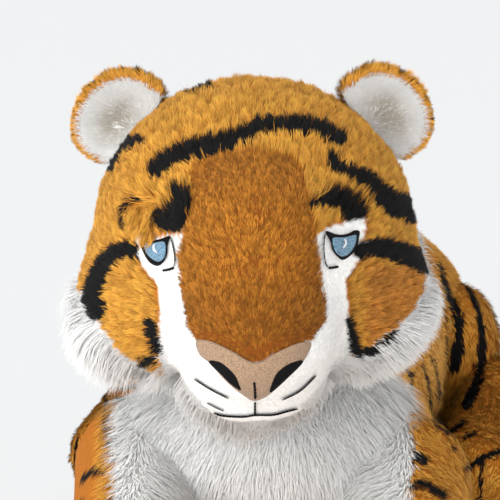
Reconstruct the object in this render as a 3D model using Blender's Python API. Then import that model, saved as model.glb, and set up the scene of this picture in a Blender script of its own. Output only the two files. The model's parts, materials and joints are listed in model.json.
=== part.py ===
# Plush tiger, lying with its head turned to one side. Metres, +Z up, the floor at zero.
import math

import bmesh
import bpy
import numpy as np
from mathutils import Matrix, Vector

for leftover in list(bpy.data.objects):
    bpy.data.objects.remove(leftover, do_unlink=True)

# Fabric, thread and clearances
fabric = 0.004
seam_gap = 0.0003
thread = 0.0009
brow_pile = 0.0028
joint_gap = 0.0015
floor_cut = 0.0005
far_reach = 0.4
merge_distance = 0.000002
tiny = 0.000000001
halving_steps = 40
crease_angle = math.radians(40)

# Trunk, as three swellings one behind the other, whose centres and half lengths are shares of its length
trunk_length = 0.470
chest_ahead = 0.287 * trunk_length
rump_behind = 0.277 * trunk_length
belly_half = (0.094, 0.323 * trunk_length, 0.076)
chest_half = (0.099, 0.204 * trunk_length, 0.061)
rump_half = (0.099, 0.230 * trunk_length, 0.074)
chest_lift = 0.068
rump_lift = 0.077
trunk_blend = 0.010
trunk_spine = 0.130
belly_seam_height = 0.034
bib_depth = 0.050

# Neck ball and the way the head sits on it
neck_radius = 0.060
neck_height = 0.160
neck_from_chest_shares = (-0.11, -0.19)
head_yaw = math.radians(10)
head_pitch = math.radians(10)

# Head, half sizes of its swellings: across, along and up
skull_half = (0.096, 0.094, 0.087)
forehead_half = (0.044, 0.040, 0.040)
muzzle_half = (0.048, 0.060, 0.042)
jowl_half = (0.051, 0.056, 0.043)
chin_half = (0.041, 0.046, 0.028)
head_blend = 0.008
head_spine = 0.030

# Centres of the head's swellings and of the neck, as shares of the skull's half sizes
forehead_shares = (0, -0.76, 0.32)
muzzle_shares = (0, -0.93, -0.24)
jowl_shares = (0.583, -0.106, -0.483)
chin_shares = (0, -0.83, -0.66)
neck_in_head_shares = (0, 0.32, -0.92)

# Ear plate
ear_half_width = 0.031
ear_height = 0.035
ear_root = 0.005
ear_sink = 0.0004
ear_half_thick = 0.006
ear_cup = 0.010
ear_lining_share = 0.78
ear_lining_forward_share = 0.8
ear_middle_share = 0.32
ear_lean = math.radians(52)
ear_direction_shares = (0.80, 0.34, 0.555)

# Foreleg, from its root ball forward to the paw
foreleg_root_shares = (0.86, -0.15, -0.28)
foreleg_length = 0.212
foreleg_splay = 0.004
foreleg_turn = math.radians(9)
foreleg_root_radius = 0.046
foreleg_half_width = 0.035
foreleg_half_height = 0.036
paw_half_width = 0.040
paw_half_height = 0.037

# Hind leg, a flat round thigh and a foot that lies beside the belly
thigh_half = 0.034
thigh_radius = 0.051
thigh_share = 0.93
foot_length = 0.165
foot_half_width = 0.030
foot_half_height = 0.028
foot_outset = 0.033
foot_width_shares = (0.90, 0.86, 0.92, 1)
foot_height_shares = (0.99, 0.92, 0.92, 1)

# Tail, from its root ball in the rump down to the floor and round to the left
tail_root_radius = 0.024
tail_radius = 0.020
tail_tip_length = 0.070
tail_root_height = 0.062
tail_drop_run = 0.075
tail_run = 0.150
tail_bend = 0.060

# Where a leg's sections stand along it, and how much of each limb's rings go to one rounded end
limb_station_shares = (0, 0.3, 0.65, 1)
leg_cap_share = 0.25
tail_cap_share = 0.125

# How far the joints that need room in the trunk can turn
leg_lift = math.radians(10)
tail_swing = math.radians(18)

# Half the face's width over its pile. The outlines on the face are shares of it, seen along the
# line of sight.
face_unit = 0.103
sight_tilt = math.radians(26)
bridge_shares = [(0, 0.39), (0.18, 0.365), (0.30, 0.31), (0.335, 0.16), (0.37, -0.06),
                 (0.40, -0.24), (0.40, -0.44), (0.38, -0.58), (0.33, -0.68), (0.15, -0.78),
                 (0, -0.84)]
nose_shares = [(0, -0.77), (0.155, -0.715), (0.325, -0.67), (0.315, -0.745), (0.235, -0.85),
               (0.11, -0.955), (0, -1.02)]
white_shares = [(0, -0.02), (0.38, -0.03), (0.52, 0.01), (0.665, 0.025), (0.66, -0.165),
                (0.605, -0.28), (0.54, -0.345), (0.545, -0.495), (0.575, -0.74), (0.56, -0.93),
                (0.30, -1.115), (0, -1.135)]
cheek_shares = [(0.45, 0.09), (0.75, 0.11), (1.0, 0.10), (1.02, -0.15), (1.02, -0.385),
                (0.95, -0.55), (0.835, -0.69), (0.70, -0.785), (0.57, -0.86), (0.45, -0.60),
                (0.40, -0.20)]
chin_panel_shares = [(0, -0.30), (0.50, -0.30), (0.60, -0.80), (0.62, -1.10), (0.52, -1.72),
                     (0, -1.76)]
ruff_shares = [(0.40, -0.70), (0.90, -0.30), (0.95, 0.04), (1.70, 0.04), (1.70, -1.80),
               (0.40, -1.80)]
crown_shares = [(0, -0.10), (0.50, -0.10), (1.70, -0.05), (1.70, 1.80), (0, 1.80)]
nostril_shares = [(0.27, -0.755), (0.18, -0.785), (0.11, -0.84), (0.075, -0.925), (0.15, -0.895),
                  (0.225, -0.825)]
brow_shares = [(0.34, 0.17), (0.48, 0.235), (0.60, 0.20), (0.68, 0.12), (0.65, 0.07), (0.54, 0.12),
               (0.43, 0.10)]
eye_shares = [(0.42, -0.05), (0.435, -0.14), (0.47, -0.195), (0.53, -0.215), (0.585, -0.185),
              (0.615, -0.12), (0.63, -0.055), (0.53, -0.065)]
iris_shares = [(0.465, -0.095), (0.475, -0.145), (0.505, -0.175), (0.54, -0.18), (0.575, -0.15),
               (0.59, -0.10), (0.53, -0.09)]
highlight_shares = [(0.50, -0.105), (0.512, -0.10), (0.518, -0.13), (0.505, -0.15), (0.497, -0.13)]
tear_shares = [(0.395, -0.07), (0.400, -0.17), (0.425, -0.245), (0.495, -0.245)]
whisker_shares = [(0.36, -0.88), (0.26, -0.945), (0.145, -1.005)]
mouth_shares = [(-0.295, -1.09), (-0.20, -1.115), (0, -1.14), (0.20, -1.115), (0.295, -1.09)]
philtrum_shares = [(0, -1.04), (0, -1.13)]
stitch_width = 0.0022

# Where each panel's outline stops cutting, in front of the skull's middle or behind it, as shares of
# its half width
nose_back_share = 0.50
bridge_back_share = 0.20
white_back_share = 0.40
chin_back_share = -0.15
cheek_back_share = -0.20
ruff_back_share = -0.62
crown_back_share = -0.55

# Counts of rings and segments on each outer form; its cavity and its filling have half the segments
head_mesh = (18, 28)
trunk_mesh = (14, 24)
leg_mesh = (12, 12)
tail_mesh = (16, 12)
thigh_mesh = (8, 16)
ear_mesh = (6, 14)
ball_mesh = (12, 24)

# Colours of the pile and the thread, with a roughness each
orange = ((0.60, 0.24, 0.04, 1), 0.9)
bridge_brown = ((0.50, 0.20, 0.04, 1), 0.9)
white = ((0.86, 0.85, 0.82, 1), 0.9)
black = ((0.02, 0.02, 0.022, 1), 0.8)
nose_pink = ((0.58, 0.38, 0.27, 1), 0.7)
iris_blue = ((0.07, 0.17, 0.29, 1), 0.6)
filling = ((0.80, 0.80, 0.78, 1), 0.95)

parts_collection = bpy.data.collections.new("plush_tiger")
cutters_collection = bpy.data.collections.new("cutters")
bpy.context.scene.collection.children.link(parts_collection)
bpy.context.scene.collection.children.link(cutters_collection)


def keep_as_guide(thing):
    thing.hide_render = True
    thing.display_type = "WIRE"
    cutters_collection.objects.link(thing)
    return thing


# Turns a closed shape's faces outwards and keeps it as a solid
def solid_from(shape, name):
    bmesh.ops.recalc_face_normals(shape, faces=shape.faces)
    if shape.calc_volume(signed=True) < 0:
        bmesh.ops.reverse_faces(shape, faces=shape.faces)
    mesh = bpy.data.meshes.new(name)
    shape.to_mesh(mesh)
    shape.free()
    return keep_as_guide(bpy.data.objects.new(name, mesh))


def copy_of(solid, matrix=Matrix()):
    mesh = solid.data.copy()
    mesh.transform(matrix)
    if matrix.determinant() < 0:
        mesh.flip_normals()
    return keep_as_guide(bpy.data.objects.new(solid.name + "_copy", mesh))


def mirrored(solid):
    return copy_of(solid, Matrix.Diagonal((-1, 1, 1, 1)))


# A unit sphere with its poles on the Y axis, each point then sent to its place on the form. Its faces are
# made triangles, so that a skin and the filling inside it are folded along the same lines.
def form(name, counts, place):
    rings, segments = counts
    shape = bmesh.new()
    bmesh.ops.create_uvsphere(shape, u_segments=segments, v_segments=rings, radius=1)
    bmesh.ops.rotate(shape, matrix=Matrix.Rotation(-math.pi / 2, 3, "X"), verts=shape.verts)
    corners = np.array([corner.co for corner in shape.verts])
    for corner, spot in zip(shape.verts, place(corners)):
        corner.co = spot
    bmesh.ops.triangulate(shape, faces=shape.faces)
    return solid_from(shape, name)


# The same solid with every corner moved out along its normal, or in if the distance is negative
def grown(solid, distance):
    bigger = copy_of(solid)
    shape = bmesh.new()
    shape.from_mesh(bigger.data)
    shape.normal_update()
    moves = [corner.normal * distance for corner in shape.verts]
    for corner, move in zip(shape.verts, moves):
        corner.co += move
    shape.to_mesh(bigger.data)
    shape.free()
    return bigger


# The skin of a stuffed form, and the filling that it holds a seam gap away
def skin_and_filling(name, counts, place):
    outer = form(name, counts, place)
    core = form(name + "_core", (counts[0], counts[1] // 2), place)
    return outer, wall_between(outer, grown(core, -fabric), name + "_wall"), grown(core, -fabric - seam_gap)


# A wall between an outer and an inner surface
def wall_between(outer, inner, name):
    shape = bmesh.new()
    shape.from_mesh(inner.data)
    bmesh.ops.reverse_faces(shape, faces=shape.faces)
    shape.from_mesh(outer.data)
    mesh = bpy.data.meshes.new(name)
    shape.to_mesh(mesh)
    shape.free()
    return keep_as_guide(bpy.data.objects.new(name, mesh))


# Welds a cut mesh, and takes away the flaps of no thickness, which are faces that lie back to back
def drop_flaps(mesh):
    shape = bmesh.new()
    shape.from_mesh(mesh)
    bmesh.ops.remove_doubles(shape, verts=shape.verts, dist=merge_distance)
    by_corners = {}
    for face in shape.faces:
        by_corners.setdefault(frozenset(face.verts), []).append(face)
    flaps = [face for faces in by_corners.values() if len(faces) > 1 for face in faces]
    bmesh.ops.delete(shape, geom=flaps, context="FACES_ONLY")
    bmesh.ops.delete(shape, geom=[edge for edge in shape.edges if not edge.link_faces], context="EDGES")
    bmesh.ops.delete(shape, geom=[corner for corner in shape.verts if not corner.link_faces], context="VERTS")
    shape.to_mesh(mesh)
    shape.free()


def combine(solid, others, operation):
    group = bpy.data.collections.new("operands")
    cutters_collection.children.link(group)
    for other in others:
        group.objects.link(other)
    step = solid.modifiers.new("combine", "BOOLEAN")
    step.operation = operation
    step.solver = "EXACT"
    step.operand_type = "COLLECTION"
    step.collection = group
    bpy.context.view_layer.update()
    graph = bpy.context.evaluated_depsgraph_get()
    result = bpy.data.meshes.new_from_object(solid.evaluated_get(graph))
    solid.modifiers.clear()
    solid.data = result
    bpy.data.collections.remove(group)
    drop_flaps(result)
    return solid


def less(solid, *others):
    return combine(solid, others, "DIFFERENCE")


def within(solid, other):
    return combine(solid, [other], "INTERSECT")


# Offcuts smaller than the piece itself fall away
def keep_largest(solid):
    shape = bmesh.new()
    shape.from_mesh(solid.data)
    unseen = set(shape.verts)
    groups = []
    while unseen:
        front = [unseen.pop()]
        group = set(front)
        while front:
            for edge in front.pop().link_edges:
                for corner in edge.verts:
                    if corner in unseen:
                        unseen.discard(corner)
                        group.add(corner)
                        front.append(corner)
        groups.append(group)
    groups.sort(key=len)
    for group in groups[:-1]:
        bmesh.ops.delete(shape, geom=list(group), context="VERTS")
    shape.to_mesh(solid.data)
    shape.free()
    return solid


def surface_material(name, look):
    colour, roughness = look
    material = bpy.data.materials.new(name)
    material.use_nodes = True
    shader = material.node_tree.nodes["Principled BSDF"]
    shader.inputs["Base Color"].default_value = colour
    shader.inputs["Roughness"].default_value = roughness
    shader.inputs["Metallic"].default_value = 0
    material.diffuse_color = colour
    return material


# Gives a finished solid its name, material and place on its joint's empty
def piece(name, solid, look, parent, offset=(0, 0, 0)):
    keep_largest(solid)
    thing = bpy.data.objects.new(name, solid.data)
    bpy.data.objects.remove(solid, do_unlink=True)
    thing.data.materials.clear()
    thing.data.materials.append(surface_material(name, look))
    thing.data.shade_smooth()
    thing.data.set_sharp_from_angle(angle=crease_angle)
    thing.parent = parent
    thing.location = offset
    parts_collection.objects.link(thing)
    return thing


def axis_empty(name, parent=None, matrix=Matrix()):
    empty = bpy.data.objects.new(name, None)
    empty.empty_display_size = neck_radius
    parts_collection.objects.link(empty)
    empty.parent = parent
    empty.matrix_local = matrix
    return empty


# How far outside ellipsoids that melt into each other a point lies; the depth is negative inside
def depth_in(points, swellings, blend):
    parts = []
    for centre, half in swellings:
        scaled = (points - np.array(centre)) / np.array(half)
        near = np.linalg.norm(scaled, axis=-1)
        steep = np.maximum(np.linalg.norm(scaled / np.array(half), axis=-1), tiny)
        parts.append(-near * (near - 1) / steep / blend)
    return -blend * np.logaddexp.reduce(parts)


# Halves the stretch between inside and outside until each ray meets the surface
def reach_surface(bases, rays, swellings, blend):
    near = np.zeros(len(rays))
    far = np.full(len(rays), far_reach)
    for _ in range(halving_steps):
        middle = (near + far) / 2
        inside = depth_in(bases + rays * middle[:, None], swellings, blend) < 0
        near = np.where(inside, middle, near)
        far = np.where(inside, far, middle)
    return bases + rays * near[:, None]


# A swollen form: rays leave a short spine that runs along Y
def swollen(centre, spine, swellings, blend):
    def place(rays):
        bases = np.array(centre) + np.array((0, spine, 0)) * rays[:, 1:2]
        return reach_surface(bases, rays, swellings, blend)
    return place


# Points on a smooth curve through the route's points, at places from 0 to its last index
def along_route(route, places):
    route = np.array(route, float)
    padded = np.vstack([2 * route[0] - route[1], route, 2 * route[-1] - route[-2]])
    start = np.clip(places.astype(int), 0, len(route) - 2)
    t = (places - start)[:, None]
    a, b, c, d = (padded[start + k] for k in range(4))
    square = 2 * a - 5 * b + 4 * c - d
    cube = 3 * b - a - 3 * c + d
    spot = b + t * (c - a) / 2 + t ** 2 * square / 2 + t ** 3 * cube / 2
    slope = (c - a) / 2 + t * square + 3 * t ** 2 * cube / 2
    return spot, slope / np.linalg.norm(slope, axis=1)[:, None]


# A limb: a round end, sections that swell and taper along the route, and another round end
def limb(route, half_widths, half_heights, cap_share):
    def place(ball):
        turn = np.arccos(np.clip(ball[:, 1], -1, 1)) / math.pi
        share = np.clip((turn - cap_share) / (1 - 2 * cap_share), 0, 1)
        places = share * (len(route) - 1)
        spot, onward = along_route(route, places)
        sideways = np.cross(-onward, (0, 0, 1))
        sideways /= np.linalg.norm(sideways, axis=1)[:, None]
        upward = np.cross(sideways, -onward)
        cap_turn = np.minimum(np.minimum(turn, 1 - turn) / cap_share, 1)
        cap_angle = cap_turn * math.pi / 2
        bulge = np.where(turn < 0.5, -1, 1) * np.cos(cap_angle)
        round_x = ball[:, 0] / np.maximum(np.hypot(ball[:, 0], ball[:, 2]), tiny) * np.sin(cap_angle)
        round_z = ball[:, 2] / np.maximum(np.hypot(ball[:, 0], ball[:, 2]), tiny) * np.sin(cap_angle)
        stations = np.arange(len(route))
        width = np.interp(places, stations, half_widths)
        height = np.interp(places, stations, half_heights)
        return (spot + sideways * (round_x * width)[:, None] + upward * (round_z * height)[:, None]
                + onward * (bulge * (width + height) / 2)[:, None])
    return place


def ball(name, centre, radius):
    return form(name, ball_mesh, lambda rays: np.array(centre) + rays * radius)


# The same shape with its facets half a facet round, so that a turning corner meets a flat
def half_facet_round(counts, place):
    turn = np.array(Matrix.Rotation(math.pi / counts[1], 3, "Y"))
    return lambda rays: place(rays @ turn)


# A hollow whose flats clear a ball of that radius however it turns
def ball_room(name, centre, radius):
    rings, segments = ball_mesh
    reach = (radius + seam_gap) / math.cos(math.pi / segments) / math.cos(math.pi / 2 / rings)
    room = half_facet_round(ball_mesh, lambda rays: np.array(centre) + rays * reach)
    return form(name, ball_mesh, room)


def slab(name, low, high, matrix=Matrix()):
    shape = bmesh.new()
    bmesh.ops.create_cube(shape, size=1)
    size = Vector(high) - Vector(low)
    middle = (Vector(high) + Vector(low)) / 2
    bmesh.ops.transform(shape, matrix=matrix @ Matrix.Translation(middle) @ Matrix.Diagonal(size.to_4d()),
                        verts=shape.verts)
    return solid_from(shape, name)


# The outline moved outwards by a gap, each corner along the mean of its two edges' normals
def widened(outline, gap):
    outline = np.array(outline, float)
    edges = np.roll(outline, -1, 0) - outline
    onward = np.roll(outline, -1, 0)
    area = np.sum(outline[:, 0] * onward[:, 1] - outline[:, 1] * onward[:, 0])
    normals = np.stack([edges[:, 1], -edges[:, 0]], 1) * np.sign(area)
    normals /= np.linalg.norm(normals, axis=1)[:, None]
    mean = normals + np.roll(normals, 1, 0)
    mean /= np.maximum(np.sum(mean * mean, 1), 0.5)[:, None]
    return outline + 2 * gap * mean


def both_sides(shares):
    outline = [spot for spot in shares if spot[0] > 0]
    ends = [spot for spot in shares if spot[0] == 0]
    mirror = [(-x, y) for x, y in reversed(outline)]
    return [ends[0]] + outline + [ends[-1]] + mirror


def one_side(shares, centre_gap):
    return [(max(x * face_unit, centre_gap), y * face_unit) for x, y in shares]


# A strip of even width along a line of points
def strip(line, width):
    line = np.array(line, float)
    slope = np.gradient(line, axis=0)
    slope /= np.linalg.norm(slope, axis=1)[:, None]
    across = np.stack([slope[:, 1], -slope[:, 0]], 1) * width / 2
    return np.vstack([line + across, (line - across)[::-1]])


# An outline in the face plane, carried from one depth to another along the line of sight
def prism(name, outline, low, high):
    curve = bpy.data.curves.new(name, "CURVE")
    curve.dimensions = "2D"
    curve.fill_mode = "BOTH"
    curve.extrude = (high - low) / 2
    line = curve.splines.new("POLY")
    line.points.add(len(outline) - 1)
    for point, (x, y) in zip(line.points, outline):
        point.co = (x, y, 0, 1)
    line.use_cyclic_u = True
    drawn = bpy.data.objects.new(name, curve)
    cutters_collection.objects.link(drawn)
    bpy.context.view_layer.update()
    graph = bpy.context.evaluated_depsgraph_get()
    mesh = bpy.data.meshes.new_from_object(drawn.evaluated_get(graph))
    bpy.data.objects.remove(drawn, do_unlink=True)
    shape = bmesh.new()
    shape.from_mesh(mesh)
    bmesh.ops.remove_doubles(shape, verts=shape.verts, dist=merge_distance)
    sight = Matrix.Rotation(math.pi / 2 - sight_tilt, 4, "X")
    bmesh.ops.transform(shape, matrix=sight @ Matrix.Translation((0, 0, (low + high) / 2)), verts=shape.verts)
    return solid_from(shape, name)


def scaled(shares, sizes):
    return tuple(share * size for share, size in zip(shares, sizes))


# Where the main forms lie
trunk_floor = belly_half[2] - floor_cut
belly_centre = (0, 0, trunk_floor)
chest_centre = (0, -chest_ahead, chest_lift)
rump_centre = (0, rump_behind, rump_lift)
trunk_swellings = [(chest_centre, chest_half), (belly_centre, belly_half), (rump_centre, rump_half)]
neck_aside, neck_behind = (neck_from_chest_shares[k] * chest_half[k] for k in range(2))
neck_centre = Vector((neck_aside, neck_behind - chest_ahead, neck_height))
neck_in_head = Vector(scaled(neck_in_head_shares, skull_half))
head_swellings = [((0, 0, 0), skull_half),
                  (scaled(forehead_shares, skull_half), forehead_half),
                  (scaled(muzzle_shares, skull_half), muzzle_half),
                  (scaled(chin_shares, skull_half), chin_half)]
for side in (-1, 1):
    jowl = scaled(jowl_shares, skull_half)
    head_swellings.append(((side * jowl[0], jowl[1], jowl[2]), jowl_half))

floor_block = slab("floor_block", (-far_reach, -2 * far_reach, -far_reach), (far_reach, 2 * far_reach, 0))

trunk_axis = axis_empty("trunk_axis")
neck_axis = axis_empty("neck_axis", trunk_axis, Matrix.Translation(neck_centre))
head_axis = axis_empty("head_axis", neck_axis,
                       Matrix.Rotation(head_yaw, 4, "Z") @ Matrix.Rotation(head_pitch, 4, "X"))


# The head's skin is one closed wall, and each panel is what its outline takes of it
def make_head():
    outer, wall, stuffing = skin_and_filling(
        "head", head_mesh, swollen((0, -head_spine, 0), head_spine, head_swellings, head_blend))
    hollow = ball_room("neck_hollow", neck_in_head, neck_radius)
    less(stuffing, hollow)
    offset = -neck_in_head
    piece("head_stuffing", stuffing, filling, head_axis, offset)

    taken = [hollow]

    def take(outline, back_share):
        back = back_share * face_unit
        panel = less(within(copy_of(wall), prism("panel_cut", outline, back, far_reach)), *taken)
        taken.append(prism("panel_gap", widened(outline, seam_gap), back - seam_gap, far_reach))
        return panel

    def take_pair(name, shares, look, back_share):
        panel = take(one_side(shares, seam_gap / 2), back_share)
        taken.append(mirrored(taken[-1]))
        piece(name + "_left", mirrored(panel), look, head_axis, offset)
        piece(name + "_right", panel, look, head_axis, offset)

    def whole(shares):
        return [(x * face_unit, y * face_unit) for x, y in both_sides(shares)]

    piece("nose_pad", take(whole(nose_shares), nose_back_share), nose_pink, head_axis, offset)
    piece("bridge_panel", take(whole(bridge_shares), bridge_back_share), bridge_brown, head_axis, offset)
    take_pair("face_white", white_shares, white, white_back_share)
    piece("chin_panel", take(whole(chin_panel_shares), chin_back_share), white, head_axis, offset)
    take_pair("cheek", cheek_shares, orange, cheek_back_share)
    take_pair("ruff", ruff_shares, white, ruff_back_share)
    piece("crown_panel", take(whole(crown_shares), crown_back_share), orange, head_axis, offset)
    piece("nape_panel", less(wall, *taken), orange, head_axis, offset)
    return outer


# Thread and appliqué lie on the skin, each in its own thin layer
def make_face_details(outer):
    offset = -neck_in_head
    thread_layer = wall_between(grown(outer, seam_gap + thread), grown(outer, seam_gap), "thread_layer")
    top_low = 2 * seam_gap + thread
    top_layer = wall_between(grown(outer, top_low + thread), grown(outer, top_low), "top_layer")
    brow_layer = wall_between(grown(outer, seam_gap + brow_pile), grown(outer, seam_gap), "brow_layer")

    def flat(shares):
        return [(x * face_unit, y * face_unit) for x, y in shares]

    def sew_pair(name, layer, outline, look, hole=None):
        shape = within(copy_of(layer), prism("thread_cut", outline, 0, far_reach))
        if hole is not None:
            less(shape, prism("thread_hole", widened(hole, seam_gap), 0, far_reach))
        piece(name + "_left", mirrored(shape), look, head_axis, offset)
        piece(name + "_right", shape, look, head_axis, offset)

    sew_pair("eye_outline", thread_layer, flat(eye_shares), black, flat(iris_shares))
    sew_pair("iris", thread_layer, flat(iris_shares), iris_blue)
    sew_pair("eye_highlight", top_layer, flat(highlight_shares), white)
    sew_pair("tear_line", thread_layer, strip(flat(tear_shares), stitch_width), black)
    sew_pair("nostril", thread_layer, flat(nostril_shares), black)
    sew_pair("brow", brow_layer, flat(brow_shares), black)
    sew_pair("whisker_stitching", thread_layer, strip(flat(whisker_shares), stitch_width), black)
    mouth = prism("mouth_line", strip(flat(mouth_shares), stitch_width), 0, far_reach)
    lip_line = prism("lip_line", strip(flat(philtrum_shares), stitch_width), 0, far_reach)
    combine(mouth, [lip_line], "UNION")
    piece("mouth_stitching", within(copy_of(thread_layer), mouth), black, head_axis, offset)


# An ear is a cupped plate, and its lining lies in a pocket on the front
def make_ears():
    middle = ear_middle_share * ear_height

    # The outline is half an ellipse above the middle and a squarer curve below it
    def plate(share, thick, forward):
        def place(rays):
            out = np.hypot(rays[:, 0], rays[:, 2])
            x, z = (rays[:, k] / np.maximum(out, tiny) for k in (0, 2))
            half_height = np.where(z > 0, ear_height - middle, middle + ear_root)
            power = np.where(z > 0, 2, 4)
            edge = (np.abs(x / ear_half_width) ** power + np.abs(z / half_height) ** power) ** (-1 / power)
            reach = out * share * edge
            cup = ear_cup * (1 - (out * share) ** 2)
            return np.stack([x * reach, cup - forward + rays[:, 1] * thick, middle + z * reach], 1)
        return place

    ray = Vector(ear_direction_shares).normalized()
    spot = reach_surface(np.zeros((1, 3)), np.array([ray]), head_swellings, head_blend)[0]
    rise = Vector((math.sin(ear_lean), 0, math.cos(ear_lean)))
    hinge = Vector(spot) + rise * (ear_root - ear_sink)
    for side, word in ((-1, "left"), (1, "right")):
        place = Vector((side * hinge[0], hinge[1], hinge[2])) - neck_in_head
        axis = axis_empty("ear_axis_" + word, head_axis,
                          Matrix.Translation(place) @ Matrix.Rotation(side * ear_lean, 4, "Y"))
        forward = ear_half_thick * ear_lining_forward_share
        lining = form("ear_lining", ear_mesh, plate(ear_lining_share, ear_half_thick / 2, forward))
        back = form("ear_back", ear_mesh, plate(1, ear_half_thick, 0))
        less(back, grown(lining, seam_gap))
        piece("ear_outer_" + word, back, orange, axis)
        piece("ear_inner_" + word, lining, white, axis)


# The room that a limb's first stations sweep: wider by their swing, higher by their lift, and clear
# by the joint gap
def room_for(route, widths, heights, swing, lift):
    root = Vector(route[0])
    half_lift = Matrix.Rotation(-lift / 2, 3, "X")
    middle = [root + half_lift @ (Vector(spot) - root) for spot in route]
    reach = np.array([(Vector(spot) - root).length for spot in route])
    room_widths = np.array(widths) + joint_gap + reach * math.sin(swing)
    room_heights = np.array(heights) + joint_gap + reach * math.sin(lift / 2)
    return form("limb_room", leg_mesh, limb(middle, room_widths, room_heights, leg_cap_share))


# Puts the right limb's solids, and their mirror images, on an axis at each side of the trunk, and gives the
# room that each of the two needs. Both limbs are turned the same way about their roots.
def hang_pair(axis_name, right_pivot, parts, room, turn=0):
    rooms = []
    for side, word in ((-1, "left"), (1, "right")):
        pivot = Vector((side * right_pivot.x, right_pivot.y, right_pivot.z))
        seat = Matrix.Translation(pivot) @ Matrix.Rotation(turn, 4, "Z")
        axis = axis_empty(axis_name + word, trunk_axis, seat)
        for name, solid, look in parts:
            here = copy_of(solid) if side > 0 else mirrored(solid)
            piece(name + word, here, look, axis, -pivot)
        here = copy_of(room) if side > 0 else mirrored(room)
        rooms.append(copy_of(here, seat @ Matrix.Translation(-pivot)))
    return rooms


# Each foreleg swells from a root ball, narrows, and ends in a broader paw
def make_forelegs():
    root = Vector(chest_centre) + Vector(scaled(foreleg_root_shares, chest_half))
    paw = Vector((root.x + foreleg_splay, root.y - foreleg_length, paw_half_height - floor_cut))
    route = [root.lerp(paw, share) for share in limb_station_shares]
    upper_width = (foreleg_root_radius + foreleg_half_width) / 2
    upper_height = (foreleg_root_radius + foreleg_half_height) / 2
    widths = [foreleg_root_radius, upper_width, foreleg_half_width, paw_half_width]
    heights = [foreleg_root_radius, upper_height, foreleg_half_height, paw_half_height]
    outer, wall, stuffing = skin_and_filling("foreleg", leg_mesh, limb(route, widths, heights, leg_cap_share))
    less(wall, floor_block)
    slope = math.atan2(root.z - paw.z, root.y - paw.y)
    seat = Matrix.Translation(root) @ Matrix.Rotation(slope, 4, "X")
    far = far_reach
    above = slab("above_seam", (-far, -far, seam_gap / 2), (far, far, far), seat)
    below = slab("below_seam", (-far, -far, -far), (far, far, -seam_gap / 2), seat)
    skin = within(copy_of(wall), above)
    underside = within(copy_of(wall), below)
    parts = [("foreleg_skin_", skin, orange), ("foreleg_underside_", underside, white),
             ("foreleg_stuffing_", stuffing, filling)]
    room = room_for(route[:3], widths[:3], heights[:3], 0, leg_lift)
    return hang_pair("foreleg_axis_", root, parts, room, foreleg_turn)


# Each hind leg is a flat round thigh in the rump's side, with a foot laid forward beside the belly
def make_hind_legs():
    centre = Vector((thigh_share * rump_half[0], rump_behind, thigh_radius + floor_cut))
    pole = math.cos(math.pi / thigh_mesh[1])

    def round_flat(half, radius):
        def place(rays):
            across, along, up = rays[:, 1] * half, -rays[:, 0] * radius, rays[:, 2] * radius
            return np.array(centre) + np.stack([across, along, up], 1)
        return place

    flat_ball = round_flat(thigh_half, thigh_radius)
    thigh, thigh_wall, thigh_stuffing = skin_and_filling("thigh", thigh_mesh, flat_ball)
    room = round_flat((thigh_half + seam_gap) / pole, (thigh_radius + seam_gap) / pole)
    socket = form("thigh_socket", thigh_mesh, half_facet_round(thigh_mesh, room))
    foot_x = centre.x + foot_outset
    heel = Vector((foot_x, centre.y - foot_half_width, foot_half_height - floor_cut + seam_gap))
    toes = Vector((foot_x + seam_gap, heel.y - foot_length, foot_half_height - floor_cut))
    route = [heel.lerp(toes, share) for share in limb_station_shares]
    widths = [foot_half_width * share for share in foot_width_shares]
    heights = [foot_half_height * share for share in foot_height_shares]
    foot_form = limb(route, widths, heights, leg_cap_share)
    foot, foot_wall, foot_stuffing = skin_and_filling("foot", leg_mesh, foot_form)
    far = far_reach
    bowl = slab("bowl", (centre.x - thigh_half / 2, -far, -far), (2 * far, far, far))
    thigh_skin = within(thigh_wall, bowl)
    thigh_room = grown(thigh, seam_gap)
    foot_skin = less(foot_wall, floor_block, thigh_room)
    less(foot_stuffing, thigh_room)
    parts = [("thigh_skin_", thigh_skin, orange), ("thigh_stuffing_", thigh_stuffing, filling),
             ("hind_paw_skin_", foot_skin, orange), ("hind_paw_stuffing_", foot_stuffing, filling)]
    return hang_pair("hind_leg_axis_", centre, parts, socket)


# The tail leaves the rump on a root ball, falls to the floor and bends round. It is shaped towards the right
# and then mirrored, so that it lies on the left.
def make_tail():
    root = Vector((0, rump_behind + rump_half[1] - tail_root_radius / 2, tail_root_height))
    low = tail_radius - floor_cut
    down = root.y + tail_drop_run
    route = [(0, root.y, root.z),
             (0, root.y + tail_drop_run / 2, (root.z + low) / 2),
             (tail_bend / 4, down, low),
             (tail_bend, down + tail_bend / 2, low),
             (tail_bend + tail_run / 2, down + tail_bend / 4, low),
             (tail_bend + tail_run, down - tail_bend / 3, low)]
    sizes = [tail_root_radius] + [tail_radius] * 5
    outer, wall, stuffing = skin_and_filling("tail", tail_mesh, limb(route, sizes, sizes, tail_cap_share))
    less(wall, floor_block)
    end = route[-1][0] + tail_radius
    seam = end - tail_tip_length
    tip_box = slab("tip_box", (seam + seam_gap / 2, 0, -far_reach), (2 * far_reach, 2 * far_reach, far_reach))
    tail_box = slab("tail_box", (-far_reach, 0, -far_reach), (seam - seam_gap / 2, 2 * far_reach, far_reach))
    axis = axis_empty("tail_axis", trunk_axis, Matrix.Translation(root))
    piece("tail_skin", mirrored(within(copy_of(wall), tail_box)), orange, axis, -root)
    piece("tail_tip", mirrored(within(copy_of(wall), tip_box)), black, axis, -root)
    piece("tail_stuffing", mirrored(stuffing), filling, axis, -root)
    return [mirrored(room_for(route[:2], sizes[:2], sizes[:2], tail_swing, 0))]


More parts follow.
